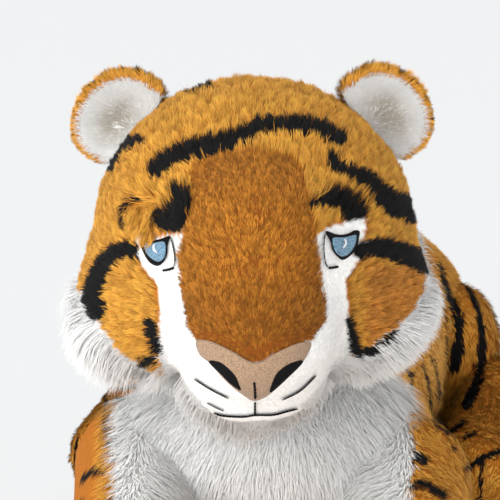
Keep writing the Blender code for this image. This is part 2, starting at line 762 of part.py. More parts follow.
# The trunk's skin is one wall with a socket for each limb, then cut into its four panels
def make_trunk(cutters):
    outer, wall, stuffing = skin_and_filling(
        "trunk", trunk_mesh, swollen(belly_centre, trunk_spine, trunk_swellings, trunk_blend))
    less(stuffing, *cutters)
    piece("body_stuffing", stuffing, filling, trunk_axis)
    wide = 2 * far_reach
    bib_line = chest_centre[1] - chest_half[1] + bib_depth
    half_gap = seam_gap / 2
    under = belly_seam_height - half_gap
    over = belly_seam_height + half_gap
    behind = bib_line + half_gap
    boxes = {
        "belly_panel": ((-wide, -wide, -wide), (wide, wide, under), white),
        "chest_bib": ((-wide, -wide, over), (wide, bib_line - half_gap, wide), white),
        "back_panel_left": ((-wide, behind, over), (-half_gap, wide, wide), orange),
        "back_panel_right": ((half_gap, behind, over), (wide, wide, wide), orange),
    }
    for name, (low, high, look) in boxes.items():
        panel = less(within(copy_of(wall), slab(name + "_box", low, high)), floor_block, *cutters)
        piece(name, panel, look, trunk_axis)


neck_ball = ball("neck_ball", (0, 0, 0), neck_radius)
piece("neck_stuffing", neck_ball, filling, neck_axis)
head_surface = make_head()
make_face_details(head_surface)
make_ears()
leg_cutters = make_forelegs() + make_hind_legs()
tail_cutters = make_tail()
neck_socket = ball_room("neck_socket", neck_centre, neck_radius)
make_trunk(leg_cutters + tail_cutters + [neck_socket])
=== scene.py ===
import json
import math

import bpy
import numpy as np
from mathutils import Matrix

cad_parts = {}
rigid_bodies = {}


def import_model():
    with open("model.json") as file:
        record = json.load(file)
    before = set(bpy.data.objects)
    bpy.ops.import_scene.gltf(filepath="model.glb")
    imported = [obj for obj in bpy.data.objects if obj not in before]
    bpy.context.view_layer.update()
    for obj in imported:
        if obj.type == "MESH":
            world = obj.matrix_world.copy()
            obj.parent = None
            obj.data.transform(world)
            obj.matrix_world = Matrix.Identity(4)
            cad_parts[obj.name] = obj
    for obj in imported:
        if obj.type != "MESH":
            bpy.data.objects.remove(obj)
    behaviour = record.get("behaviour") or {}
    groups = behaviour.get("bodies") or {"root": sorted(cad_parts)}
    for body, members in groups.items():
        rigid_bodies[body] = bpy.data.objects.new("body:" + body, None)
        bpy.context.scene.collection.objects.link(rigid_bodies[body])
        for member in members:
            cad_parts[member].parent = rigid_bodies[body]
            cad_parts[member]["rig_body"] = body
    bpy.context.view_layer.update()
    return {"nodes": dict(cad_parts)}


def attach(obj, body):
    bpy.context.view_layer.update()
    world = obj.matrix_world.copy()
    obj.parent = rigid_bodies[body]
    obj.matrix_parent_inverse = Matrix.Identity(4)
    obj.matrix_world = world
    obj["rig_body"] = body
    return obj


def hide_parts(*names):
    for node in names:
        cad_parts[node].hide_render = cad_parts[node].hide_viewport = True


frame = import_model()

tiny = 1e-9


def unit(v):
    return v / np.maximum(np.linalg.norm(v, axis=-1, keepdims=True), tiny)


def mix(a, b, share):
    return a + (b - a) * share


def smooth(low, high, x):
    t = np.clip((x - low) / (high - low), 0, 1)
    return t * t * (3 - 2 * t)


# A turn about one axis, as a 3 by 3 matrix
def turnAbout(axis, angle):
    a, b = {"X": (1, 2), "Y": (2, 0), "Z": (0, 1)}[axis]
    m = np.eye(3)
    m[a, a] = m[b, b] = math.cos(angle)
    m[b, a] = math.sin(angle)
    m[a, b] = -m[b, a]
    return m


# Random numbers from -1 to 1 that stay the same for the same whole-number cell
def cellNoise(cells, seed):
    n = cells[..., 0] * 73856093 ^ cells[..., 1] * 19349663 ^ cells[..., 2] * 83492791 ^ (seed * 2654435 + 97)
    n = (n ^ (n >> 13)) * 1274126177
    n = n ^ (n >> 16)
    return (n & 65535) / 32767.5 - 1


# Smooth noise from -1 to 1: the eight corners of a point's cell, mixed by its place in the cell
def softNoise(points, size, seed):
    scaled = points / size
    cell = np.floor(scaled).astype(np.int64)
    part = scaled - cell
    part = part * part * (3 - 2 * part)
    total = np.zeros(points.shape[:-1])
    for corner in range(8):
        step = np.array([corner & 1, corner >> 1 & 1, corner >> 2 & 1])
        weight = np.prod(np.where(step == 1, part, 1 - part), axis=-1)
        total += weight * cellNoise(cell + step, seed)
    return total


photoView = {"turn": math.radians(10), "elevation": math.radians(16), "distance": 1.6, "unit": 0.00062,
             "aside": -0.0025, "above": -0.015, "sensor": 36, "pixels": 500}

headSeat = {"neck": (-0.01089, -0.15311, 0.16), "turn": math.radians(10), "pitch": math.radians(10),
            "neckInHead": (0, 0.03008, -0.08004)}
headTurn = turnAbout("Z", headSeat["turn"]) @ turnAbout("X", headSeat["pitch"])
headCentre = np.array(headSeat["neck"]) - headTurn @ np.array(headSeat["neckInHead"])


def headToWorld(points):
    return points @ headTurn.T + headCentre


def worldToHead(points):
    return (points - headCentre) @ headTurn


sightForward = np.array([-math.sin(photoView["turn"]) * math.cos(photoView["elevation"]),
                         math.cos(photoView["turn"]) * math.cos(photoView["elevation"]),
                         -math.sin(photoView["elevation"])])
sightRight = np.array([math.cos(photoView["turn"]), math.sin(photoView["turn"]), 0])
sightUp = np.cross(sightRight, sightForward)
sightTarget = headCentre + sightRight * photoView["aside"] + sightUp * photoView["above"]
eyePoint = sightTarget - sightForward * photoView["distance"]


# An object's three axes and its place make up its matrix
def placeThing(thing, right, up, back, spot):
    matrix = np.eye(4)
    matrix[:3] = np.stack([right, up, back, spot], 1)
    bpy.context.scene.collection.objects.link(thing)
    thing.matrix_world = Matrix(matrix.tolist())


def makeCamera():
    camera = bpy.data.objects.new("photoCamera", bpy.data.cameras.new("photoCamera"))
    camera.data.lens = photoView["sensor"] * photoView["distance"] / (photoView["unit"] * photoView["pixels"])
    camera.data.sensor_width = photoView["sensor"]
    placeThing(camera, sightRight, sightUp, -sightForward, eyePoint)
    bpy.context.scene.camera = camera


# A point's place in the picture, 500 units across, counted from its top left corner
def pictureSpot(points):
    away = points - eyePoint
    depth = away @ sightForward
    scale = photoView["distance"] / photoView["unit"] / depth
    half = photoView["pixels"] / 2
    return np.stack([half + away @ sightRight * scale, half - away @ sightUp * scale], -1)


def sightRay(spots):
    half = photoView["pixels"] / 2
    across = (spots[..., 0:1] - half) * photoView["unit"]
    down = (spots[..., 1:2] - half) * photoView["unit"]
    return unit(sightForward * photoView["distance"] + sightRight * across - sightUp * down)


# Even-odd rule: a spot is inside if a line to its right crosses the outline an odd number of times
def inside(spots, outline):
    a = np.array(outline, float)
    b = np.roll(a, -1, 0)
    x, y = spots[..., 0, None], spots[..., 1, None]
    crosses = (a[:, 1] > y) != (b[:, 1] > y)
    slope = (b[:, 0] - a[:, 0]) / np.where(b[:, 1] == a[:, 1], tiny, b[:, 1] - a[:, 1])
    return np.sum(crosses & (x < a[:, 0] + slope * (y - a[:, 1])), -1) % 2 == 1


# Distance from each spot to the nearest of a line's stretches, with the share of the way along the line
def lineDistance(spots, line):
    a = np.array(line[:-1], float)
    b = np.array(line[1:], float)
    run = b - a
    away = spots[..., None, :] - a
    t = np.clip(np.sum(away * run, -1) / np.maximum(np.sum(run * run, -1), tiny), 0, 1)
    gap = np.linalg.norm(away - t[..., None] * run, axis=-1)
    nearest = np.argmin(gap, -1)
    share = (nearest + np.take_along_axis(t, nearest[..., None], -1)[..., 0]) / len(a)
    return np.take_along_axis(gap, nearest[..., None], -1)[..., 0], share


def outlineDistance(spots, outline):
    gap, _ = lineDistance(spots, list(outline) + [outline[0]])
    return gap


def onStroke(spots, stroke):
    line, startWidth, endWidth = stroke
    gap, share = lineDistance(spots, line)
    return gap < mix(startWidth, endWidth, share) / 2


def meshPiece(name, corners, faceSets, uv=None):
    mesh = bpy.data.meshes.new(name)
    mesh.vertices.add(len(corners))
    mesh.vertices.foreach_set("co", np.ascontiguousarray(corners, np.float32).ravel())
    loops = np.concatenate([faces.ravel() for faces in faceSets])
    counts = np.concatenate([np.full(len(faces), faces.shape[1]) for faces in faceSets])
    starts = np.concatenate([[0], np.cumsum(counts)[:-1]])
    mesh.loops.add(len(loops))
    mesh.loops.foreach_set("vertex_index", loops.astype(np.int32))
    mesh.polygons.add(len(counts))
    mesh.polygons.foreach_set("loop_start", starts.astype(np.int32))
    mesh.update(calc_edges=True)
    mesh.shade_smooth()
    if uv is not None:
        layer = mesh.uv_layers.new(name="OFBake")
        layer.uv.foreach_set("vector", np.ascontiguousarray(uv[loops], np.float32).ravel())
    thing = bpy.data.objects.new(name, mesh)
    bpy.context.scene.collection.objects.link(thing)
    return thing


def paintPoints(thing, name, colours):
    layer = thing.data.attributes.new(name, "FLOAT_COLOR", "POINT")
    full = np.ones((len(colours), 4), np.float32)
    full[:, :3] = colours
    layer.data.foreach_set("color", full.ravel())


# A closed form's grid: row 0 and the last row are its two poles, and each row between goes round once
class Form:
    def __init__(self, grid):
        rows, segments = grid.shape[0] - 1, grid.shape[1]
        self.corners = np.concatenate([grid[:1, 0], grid[1:-1].reshape(-1, 3), grid[-1:, 0]])
        row = np.arange(rows - 2)[:, None] * segments + 1
        here = np.arange(segments)
        after = (here + 1) % segments
        self.quads = np.stack([row + here, row + after, row + segments + after, row + segments + here],
                              -1).reshape(-1, 4)
        last = len(self.corners) - 1
        start = 1 + (rows - 2) * segments
        self.caps = np.concatenate([np.stack([np.zeros_like(here), after + 1, here + 1], -1),
                                    np.stack([np.full_like(here, last), start + here, start + after], -1)])
        tris = np.concatenate([self.quads[:, [0, 1, 2]], self.quads[:, [0, 2, 3]], self.caps])
        a, b, c = (self.corners[tris[:, k]] for k in range(3))
        if np.sum(np.cross(a, b) * c) < 0:
            self.quads, self.caps, tris = self.quads[:, ::-1], self.caps[:, ::-1], tris[:, ::-1]
            a, c = c, a
        self.tris = tris
        cross = np.cross(b - a, c - a)
        self.areas = np.linalg.norm(cross, axis=1) / 2
        normals = np.zeros_like(self.corners)
        for k in range(3):
            np.add.at(normals, tris[:, k], cross)
        self.normals = unit(normals)
        u, v = np.meshgrid(np.arange(segments) / segments, np.arange(rows + 1) / rows)
        flat = np.stack([u * 0.98 + 0.01, v * 0.98 + 0.01], -1)
        self.uv = np.concatenate([flat[:1, 0], flat[1:-1].reshape(-1, 2), flat[-1:, 0]])

    # Roots spread evenly over the surface, so many to each square millimetre
    def scatter(self, perSquareMm, seed):
        rng = np.random.default_rng(seed)
        count = int(self.areas.sum() * 1e6 * perSquareMm)
        edges = np.cumsum(self.areas)
        pick = np.searchsorted(edges, rng.random(count) * edges[-1])
        pick = np.minimum(pick, len(self.tris) - 1)
        r, s = rng.random(count), rng.random(count)
        far = r + s > 1
        r, s = np.where(far, 1 - r, r), np.where(far, 1 - s, s)
        weights = np.stack([1 - r - s, r, s], -1)[..., None]
        tri = self.tris[pick]
        return np.sum(self.corners[tri] * weights, 1), unit(np.sum(self.normals[tri] * weights, 1))


# Rays from a centre with the poles on Y: the angle from +Y goes down the rows, the angle round Y along them
def poleRays(rows, segments):
    turn = np.linspace(0, math.pi, rows + 1)[:, None]
    around = np.arange(segments)[None] / segments * 2 * math.pi
    return np.stack([np.sin(turn) * np.sin(around), np.cos(turn) + 0 * around, np.sin(turn) * np.cos(around)], -1)


# How far outside ellipsoids that melt into each other a point lies; the depth is negative inside
def depthIn(points, swellings, blend):
    parts = []
    for centre, half in swellings:
        scaled = (points - np.array(centre)) / np.array(half)
        near = np.linalg.norm(scaled, axis=-1)
        steep = np.maximum(np.linalg.norm(scaled / np.array(half), axis=-1), tiny)
        parts.append(-near * (near - 1) / steep / blend)
    return -blend * np.logaddexp.reduce(parts)


# Each ray leaves a short spine along Y, and halving the stretch between inside and outside finds the surface
def swollenGrid(shape, swellings):
    rays = poleRays(shape["rows"], shape["segments"])
    bases = np.array(shape["centre"]) + np.array((0, shape["spine"], 0)) * rays[..., 1:2]
    near, far = np.zeros(rays.shape[:-1]), np.full(rays.shape[:-1], 0.4)
    for _ in range(30):
        middle = (near + far) / 2
        isIn = depthIn(bases + rays * middle[..., None], swellings, shape["blend"]) < 0
        near, far = np.where(isIn, middle, near), np.where(isIn, far, middle)
    return bases + rays * near[..., None]


# A smooth curve through the route's points, and its direction, at places from 0 to its last index
def alongRoute(route, places):
    route = np.array(route, float)
    padded = np.vstack([2 * route[0] - route[1], route, 2 * route[-1] - route[-2]])
    start = np.clip(places.astype(int), 0, len(route) - 2)
    t = (places - start)[..., None]
    a, b, c, d = (padded[start + k] for k in range(4))
    square = 2 * a - 5 * b + 4 * c - d
    cube = 3 * b - a - 3 * c + d
    spot = b + t * (c - a) / 2 + t ** 2 * square / 2 + t ** 3 * cube / 2
    slope = (c - a) / 2 + t * square + 3 * t ** 2 * cube / 2
    return spot, unit(slope)


# A limb: a round end, sections that swell and taper along the route, and another round end
def limbGrid(route, halfWidths, halfHeights, capShare, rows, segments):
    rays = poleRays(rows, segments)
    turn = np.arccos(np.clip(rays[..., 1], -1, 1)) / math.pi
    share = np.clip((turn - capShare) / (1 - 2 * capShare), 0, 1)
    places = share * (len(route) - 1)
    spot, onward = alongRoute(route, places)
    sideways = unit(np.cross(-onward, np.array((0.0, 0.0, 1.0))))
    upward = np.cross(sideways, -onward)
    capAngle = np.minimum(np.minimum(turn, 1 - turn) / capShare, 1) * math.pi / 2
    bulge = np.where(turn < 0.5, -1, 1) * np.cos(capAngle)
    out = np.maximum(np.hypot(rays[..., 0], rays[..., 2]), tiny)
    stations = np.arange(len(route))
    width = np.interp(places, stations, halfWidths)
    height = np.interp(places, stations, halfHeights)
    x = rays[..., 0] / out * np.sin(capAngle) * width
    z = rays[..., 2] / out * np.sin(capAngle) * height
    return (spot + sideways * x[..., None] + upward * z[..., None]
            + onward * (bulge * (width + height) / 2)[..., None])


# Heights that keep every skin, root and hair off the floor
floorGap = {"skin": 0.0004, "root": 0.003, "hair": 0.0006}


def onFloor(grid):
    grid[..., 2] = np.maximum(grid[..., 2], floorGap["skin"])
    return grid


# A straight limb between two points, its sections given at shares of the way
def limbForm(limb, start, end):
    start, end = np.array(start), np.array(end)
    route = [start + (end - start) * share for share in limb["stations"]]
    return Form(onFloor(limbGrid(route, limb["widths"], limb["heights"], limb["cap"], limb["rows"],
                                 limb["segments"])))


# Each input of a node gets a value, or a link where an output is given
def feed(tree, node, inputs):
    for key, value in inputs.items():
        if isinstance(value, bpy.types.NodeSocket):
            tree.links.new(value, node.inputs[key])
        else:
            node.inputs[key].default_value = value


def addNode(tree, kind, inputs=(), **settings):
    node = tree.nodes.new("ShaderNode" + kind)
    for key, value in settings.items():
        setattr(node, key, value)
    feed(tree, node, dict(inputs))
    return node


def shaderGroup(name, inputs, outputs):
    group = bpy.data.node_groups.new(name, "ShaderNodeTree")
    for socketName, kind, value in inputs:
        socket = group.interface.new_socket(name=socketName, in_out="INPUT", socket_type=kind)
        if value is not None:
            socket.default_value = value
    for socketName, kind in outputs:
        group.interface.new_socket(name=socketName, in_out="OUTPUT", socket_type=kind)
    return group, group.nodes.new("NodeGroupInput").outputs, group.nodes.new("NodeGroupOutput")


# Patches of lighter and darker pile: soft noise on the object's own coordinates turns the colour up and down
def makePileTone():
    group, given, out = shaderGroup(
        "pileTone", [("Colour", "NodeSocketColor", None), ("Patch Scale", "NodeSocketFloat", 60.0),
                     ("Patch Share", "NodeSocketFloat", 0.2)],
        [("Colour", "NodeSocketColor")])
    place = addNode(group, "TexCoord")
    noise = addNode(group, "TexNoise", {"Detail": 3, "Vector": place.outputs["Object"], "Scale": given["Patch Scale"]})
    centred = addNode(group, "Math", {0: noise.outputs["Fac"], 1: 0.5}, operation="SUBTRACT")
    scaled = addNode(group, "Math", {0: centred.outputs[0], 1: given["Patch Share"]}, operation="MULTIPLY")
    level = addNode(group, "Math", {0: scaled.outputs[0], 1: 1}, operation="ADD")
    tinted = addNode(group, "VectorMath", {0: given["Colour"], "Scale": level.outputs[0]}, operation="SCALE")
    feed(group, out, {"Colour": tinted.outputs[0]})
    return group


# Satin stitch: bands across the thread give its ridges, and noise makes a thread here and there darker
def makeSatinStitch():
    group, given, out = shaderGroup(
        "satinStitch", [("Colour", "NodeSocketColor", None), ("Threads", "NodeSocketFloat", 900.0),
                        ("Turn", "NodeSocketFloat", 0.0), ("Contrast", "NodeSocketFloat", 0.35)],
        [("Colour", "NodeSocketColor"), ("Height", "NodeSocketFloat")])
    place = addNode(group, "TexCoord")
    turned = addNode(group, "VectorRotate", {"Vector": place.outputs["Object"], "Angle": given["Turn"]},
                     rotation_type="Y_AXIS")
    bands = addNode(group, "TexWave", {"Distortion": 3.5, "Detail": 2, "Vector": turned.outputs["Vector"],
                                       "Scale": given["Threads"]}, bands_direction="X")
    low = addNode(group, "Math", {0: 1, 1: given["Contrast"]}, operation="SUBTRACT")
    shade = addNode(group, "MapRange", {"To Min": low.outputs[0], "To Max": 1, "Value": bands.outputs["Fac"]})
    tinted = addNode(group, "VectorMath", {0: given["Colour"], "Scale": shade.outputs["Result"]}, operation="SCALE")
    feed(group, out, {"Colour": tinted.outputs[0], "Height": bands.outputs["Fac"]})
    return group


pileTone = makePileTone()
satinStitch = makeSatinStitch()


def startMaterial(name, roughness, sheen):
    material = bpy.data.materials.new(name)
    material.use_nodes = True
    tree = material.node_tree
    shader = tree.nodes["Principled BSDF"]
    feed(tree, shader, {"Roughness": roughness, "Specular IOR Level": 0.12, "Sheen Weight": sheen,
                        "Sheen Roughness": 0.6})
    return material, tree, shader


# Pile and the cloth under it take their colour from the piece's own point colours. The normal of a hair's back is
# turned round, so that both its sides are lit as the coat is.
def pileMaterial(name, patchScale, patchShare, sheen):
    material, tree, shader = startMaterial(name, 0.85, sheen)
    painted = addNode(tree, "Attribute", attribute_name="pileColour")
    tone = addNode(tree, "Group", {"Patch Scale": patchScale, "Patch Share": patchShare,
                                   "Colour": painted.outputs["Color"]}, node_tree=pileTone)
    surface = addNode(tree, "NewGeometry").outputs
    flip = addNode(tree, "Math", {0: surface["Backfacing"], 1: -2, 2: 1}, operation="MULTIPLY_ADD")
    outward = addNode(tree, "VectorMath", {0: surface["Normal"], "Scale": flip.outputs[0]}, operation="SCALE")
    feed(tree, shader, {"Base Color": tone.outputs["Colour"], "Normal": outward.outputs[0]})
    return material


def threadMaterial(name, colour, turn, contrast, bump):
    material, tree, shader = startMaterial(name, 0.7, 0.0)
    stitch = addNode(tree, "Group", {"Colour": (*colour, 1), "Threads": 700.0, "Turn": turn, "Contrast": contrast},
                     node_tree=satinStitch)
    raised = addNode(tree, "Bump", {"Strength": bump, "Distance": 0.0004, "Height": stitch.outputs["Height"]})
    feed(tree, shader, {"Base Color": stitch.outputs["Colour"], "Normal": raised.outputs["Normal"]})
    return material


# Short looped cloth: small cells give the loops, and their edges the shade between them
def clothMaterial(name, colour, loopScale, dark):
    material, tree, shader = startMaterial(name, 0.8, 0.2)
    place = addNode(tree, "TexCoord")
    loops = addNode(tree, "TexVoronoi", {"Scale": loopScale, "Randomness": 0.7, "Vector": place.outputs["Object"]})
    tone = addNode(tree, "ValToRGB", {"Fac": loops.outputs["Distance"]})
    top, edge = tone.color_ramp.elements
    top.color = (*[min(c * 1.25, 1) for c in colour], 1)
    edge.color = (*[c * dark for c in colour], 1)
    edge.position = 0.85
    raised = addNode(tree, "Bump", {"Strength": 0.6, "Distance": 0.0006, "Height": loops.outputs["Distance"]},
                     invert=True)
    feed(tree, shader, {"Base Color": tone.outputs["Color"], "Normal": raised.outputs["Normal"]})
    return material


longPile = pileMaterial("longPile", 70.0, 0.3, 0.02)
backingCloth = pileMaterial("backingCloth", 400.0, 0.5, 0.0)

# Colours of the pile as linear light. Each root colour is darker than its tip colour: painted shade deep in the pile.
# The cloth under the pile takes the root colours as painted shade between the hairs.
pileColours = {
    "orange": {"colour": (0.90, 0.44, 0.066), "root": (0.48, 0.155, 0.015), "slot": "orange_pile"},
    "white": {"colour": (0.94, 0.937, 0.925), "root": (0.92, 0.91, 0.885), "slot": "white_pile"},
    "earWhite": {"colour": (0.84, 0.835, 0.82), "root": (0.78, 0.77, 0.74), "slot": "white_short_pile"},
    "black": {"colour": (0.010, 0.010, 0.010), "root": (0.006, 0.006, 0.006), "slot": "black_pile"},
    "bridge": {"colour": (0.60, 0.235, 0.027), "root": (0.20, 0.055, 0.006), "slot": "bridge_short_pile"},
}
colourNames = list(pileColours)
rootShadeTable = np.array([pileColours[name]["root"] for name in colourNames])
orange, white, earWhite, black, bridge = range(len(colourNames))


# The part of a direction that lies in the surface
def alongSurface(comb, normals):
    return unit(comb - normals * np.sum(comb * normals, -1, keepdims=True))


# From a hair's root to about its middle: some way along the lie of the pile, and some way up
def towardsMiddle(comb, normals, length):
    return (alongSurface(comb, normals) * 0.45 + normals * 0.3) * np.reshape(length, (-1, 1))


# A coat with other values where the mask is true
def coatWhere(coat, mask, **own):
    return dict(coat, **{key: np.where(mask, value, coat[key]) for key, value in own.items()})


# A piece's material, and what it tells the frame: the solids it stands for, which are hidden, and its body
def dress(thing, material, body, replaced=()):
    thing.data.materials.append(material)
    if replaced:
        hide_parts(*replaced)
    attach(thing, body)
    return thing


# One hair: how its five corners lie in its cell of the uv map, how far each is from root to tip, and its limits
hair = {"uv": [(0.25, 0.1), (0.75, 0.1), (0.3, 0.5), (0.7, 0.5), (0.5, 0.9)], "along": [0, 0, 0.55, 0.55, 1.0],
        "rootSink": 0.0008, "lengths": (0.75, 1.15), "widths": (0.7, 1.3), "shades": (0.4, 1.5), "brightest": 0.98,
        "mostInPiece": 62000, "fewest": 30}


# Each hair is a narrow ribbon of two stretches. It leaves its root at the lift angle above the lie of the pile,
# bends down by the bend angle, and leans towards the middle of its tuft. The ripple makes lift and length differ from
# tuft to tuft. The tone scales the hair's colours: painted shade where it darkens the lower bridge, the right cheek
# and the ear's hollow, and painted light where it brightens the shoulder. The normals lean along the lie of the pile,
# or against it where that is negative.
def growPile(name, body, roots, normals, comb, colour, coat):
    count = len(roots)
    rng = np.random.default_rng(coat["seed"] + len(name))
    tuftSize, tuftPull = (np.reshape(coat[key], (-1, 1)) for key in ("tuftSize", "tuftPull"))
    jitter = rng.normal(0, 1, (count, 3)) * tuftSize * 0.12
    cell = np.floor((roots + jitter) / tuftSize).astype(np.int64)
    key = (cell[:, 0] * 4000037 + cell[:, 1]) * 4000037 + cell[:, 2]
    _, tuft = np.unique(key, return_inverse=True)
    tuftCount = np.bincount(tuft)[:, None]

    def perTuft(step):
        return cellNoise(cell, coat["seed"] + step)

    comb = alongSurface(comb, normals)
    side = np.cross(normals, comb)
    swirl = softNoise(roots, coat["swirlSize"], coat["seed"]) * coat["swirl"] + rng.normal(0, coat["stray"], count)
    swirl += perTuft(2) * coat["tuftStray"]
    lie = comb * np.cos(swirl)[:, None] + side * np.sin(swirl)[:, None]
    wave = (softNoise(roots, coat["swirlSize"], coat["seed"] + 5) + perTuft(4)) * coat["ripple"]
    lift = coat["lift"] * (1 + wave) + rng.normal(0, 0.1, count)
    length = coat["length"] * rng.uniform(*hair["lengths"], count) * (1 + coat["ripple"] / 2 * perTuft(6))

    def stretch(angle):
        lean = lie * np.cos(angle)[:, None] + normals * np.sin(angle)[:, None]
        return lean * (length * 0.5)[:, None]

    start = roots - normals * hair["rootSink"]
    middle = start + stretch(lift)
    tip = middle + stretch(lift - coat["bend"])
    tip[:, 2] -= coat["sag"] * length
    tuftTip = np.stack([np.bincount(tuft, tip[:, k]) for k in range(3)], -1) / tuftCount
    tip = mix(tip, tuftTip[tuft], tuftPull)
    middle = mix(middle, (start + tip) / 2, tuftPull * 0.5)
    half = np.cross(lie, normals) * (coat["width"] / 2 * rng.uniform(*hair["widths"], count))[:, None]
    corners = np.stack([start - half, start + half, middle - half * 0.8, middle + half * 0.8, tip], 1)
    corners = corners.reshape(-1, 3)
    corners[:, 2] = np.maximum(corners[:, 2], floorGap["hair"])
    first = np.arange(count)[:, None] * 5
    cells = int(math.ceil(math.sqrt(count)))
    corner = np.stack([np.arange(count) % cells, np.arange(count) // cells], -1)[:, None]
    uv = ((corner + np.array(hair["uv"])) / cells).reshape(-1, 2)
    thing = meshPiece(name, corners, [first + np.array([[0, 1, 3, 2]]), first + np.array([[2, 3, 4]])], uv)
    shade = (1 + coat["tuftShade"] * perTuft(9)) * (1 + rng.normal(0, coat["hairShade"], count))
    # A hair's colour runs from its darker root colour, painted shade deep in the pile, to its tip colour
    along = np.array(hair["along"])[:, None]
    painted = mix(np.array(colour["root"]), np.array(colour["colour"]), along)[None]
    painted = painted * np.clip(shade, *hair["shades"])[:, None, None] * (np.ones((count, 3)) * coat["tone"])[:, None]
    paintPoints(thing, "pileColour", np.minimum(painted, hair["brightest"]).reshape(-1, 3))
    leaning = unit(normals + lie * (np.ones(count) * coat["normalLean"])[:, None])
    thing.data.normals_split_custom_set_from_vertices(np.repeat(leaning, 5, 0))
    print("pile", name, count, "hairs")
    return dress(thing, longPile, body)


# A coat is one piece for each colour, or several where a colour has very many hairs
def growCoat(name, body, roots, normals, comb, colours, coat):
    grown = {}
    for k, colourName in enumerate(colourNames):
        rows = np.flatnonzero(colours == k)
        if len(rows) < hair["fewest"]:
            continue
        parts = math.ceil(len(rows) / hair["mostInPiece"])
        rows = rows[np.argsort(roots[rows, 1], kind="stable")]
        for part, chosen in enumerate(np.array_split(rows, parts)):
            own = {key: value[chosen] if isinstance(value, np.ndarray) else value for key, value in coat.items()}
            word = colourName[0].upper() + colourName[1:] + ("" if parts == 1 else str(part + 1))
            grown[colourName] = growPile(name + word, body, roots[chosen], normals[chosen], comb[chosen],
                                         pileColours[colourName], own)
    return grown


def formPiece(name, form):
    return meshPiece(name, form.corners, [form.quads, form.caps], form.uv)


def skinPiece(name, body, form, colours, replaced):
    thing = formPiece(name, form)
    # The cloth takes the darker root colours: painted shade between the hairs
    paintPoints(thing, "pileColour", rootShadeTable[colours])
    dress(thing, backingCloth, body, replaced)
    print("skin", name, len(form.tris), "triangles")


def facing(points, normals):
    return np.sum(unit(eyePoint - points) * normals, -1)


def thinned(keep, seed, *arrays):
    rows = np.random.default_rng(seed).random(len(keep)) < keep
    return [array[rows] for array in arrays]


def offFloor(seed, roots, normals):
    return thinned(np.where(roots[:, 2] < floorGap["root"], 0, 1), seed, roots, normals)


def nodesNamed(start, end=""):
    return [node for node in frame["nodes"] if node.startswith(start) and node.endswith(end)]


def nodesOf(body):
    return [node for node in frame["nodes"] if frame["nodes"][node]["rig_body"] == body]


makeCamera()
print("camera placed")

skullHalf = np.array((0.096, 0.094, 0.087))


def onSkull(*shares):
    return tuple(skullHalf * np.array(shares))


headShape = {"blend": 0.008, "spine": 0.030, "rows": 90, "segments": 120, "centre": (0, -0.030, 0),
             "sight": (1.40, 1.66, 0.005)}
headSwellings = [((0, 0, 0), tuple(skullHalf)),
                 (onSkull(0, -0.76, 0.32), (0.044, 0.040, 0.040)),
                 (onSkull(0, -0.93, -0.24), (0.048, 0.060, 0.042)),
                 (onSkull(0, -0.83, -0.66), (0.041, 0.046, 0.028)),
                 (onSkull(0.583, -0.106, -0.483), (0.051, 0.056, 0.043)),
                 (onSkull(-0.583, -0.106, -0.483), (0.051, 0.056, 0.043))]

# Outlines and strokes on the face, in the picture's 500 units; a stroke has its line and its two widths
bridgeOutline = [(194, 167), (190, 180), (191, 212), (183, 235), (179, 257), (182, 290), (189, 329), (197, 341),
                 (225, 352), (255, 364), (285, 352), (310, 341), (324, 324), (324, 299), (319, 274), (315, 239),
                 (309, 209), (305, 189), (304, 174), (290, 160), (257, 154), (215, 158)]
whiteOutline = [(20, 290), (88, 290), (100, 325), (118, 352), (140, 368), (162, 376), (157, 356), (160, 311),
                (157, 284), (145, 271), (138, 257), (134, 226), (150, 234), (168, 238), (184, 232),
                *bridgeOutline[4:15], (315, 236), (328, 228), (345, 222), (362, 213), (366, 218), (363, 250),
                (355, 268), (345, 283), (352, 330), (352, 358), (372, 345), (395, 330), (415, 310), (425, 290),
                (427, 262), (422, 236), (480, 236), (480, 540), (20, 540)]
muzzleOutline = [(134, 226), (184, 232), (315, 236), (366, 215), (363, 250), (355, 268), (345, 283), (344, 325),
                 (336, 352), (320, 380), (302, 400), (285, 411), (255, 418), (228, 417), (209, 406), (190, 385),
                 (176, 362), (167, 330), (160, 300), (145, 271), (136, 257)]
noseOutline = [(196, 341), (210, 341), (230, 350), (256, 363), (278, 352), (296, 344), (309, 342), (311, 347),
               (303, 362), (286, 380), (270, 394), (264, 398), (254, 401), (244, 396), (231, 386), (219, 374),
               (208, 362), (199, 354)]
blackStrokes = [
    ([(155, 168), (163, 161), (176, 153), (190, 147), (205, 144), (225, 140), (244, 133), (257, 126), (270, 123),
      (294, 123), (319, 126), (340, 137)], 19, 17),
    ([(106, 165), (118, 149), (130, 139), (141, 140)], 15, 8),
    ([(334, 155), (338, 166), (353, 172), (367, 177), (378, 190), (392, 203), (414, 210)], 11, 27),
    ([(362, 251), (376, 247), (393, 250), (410, 255), (426, 262)], 17, 25),
    ([(131, 252), (122, 249), (112, 253), (102, 263), (94, 280), (90, 299), (96, 311)], 17, 20),
    ([(147, 322), (150, 334), (155, 350)], 10, 12),
    ([(138, 364), (144, 364), (149, 362)], 6, 12),
    ([(350, 322), (354, 338), (357, 352)], 10, 12),
    ([(360, 354), (376, 349), (397, 335)], 10, 8),
    ([(158, 100), (184, 90), (212, 84)], 6, 6),
    # Painted shade: a dark line along the parting at the edge of the hanging brow tuft
    ([(121, 226), (120, 214), (126, 203), (136, 194)], 5, 6),
]
browTuft = [(126, 203), (140, 193), (158, 192), (168, 200), (160, 212), (153, 222), (158, 234), (148, 238), (136, 228)]
browOutlines = [
    [(171, 182), (182, 185), (190, 200), (189, 221), (182, 231), (166, 230), (151, 222), (157, 209), (170, 203)],
    [(307, 206), (314, 194), (330, 187), (348, 188), (362, 197), (368, 208), (364, 216), (350, 221), (344, 214),
     (338, 205), (322, 203)],
]
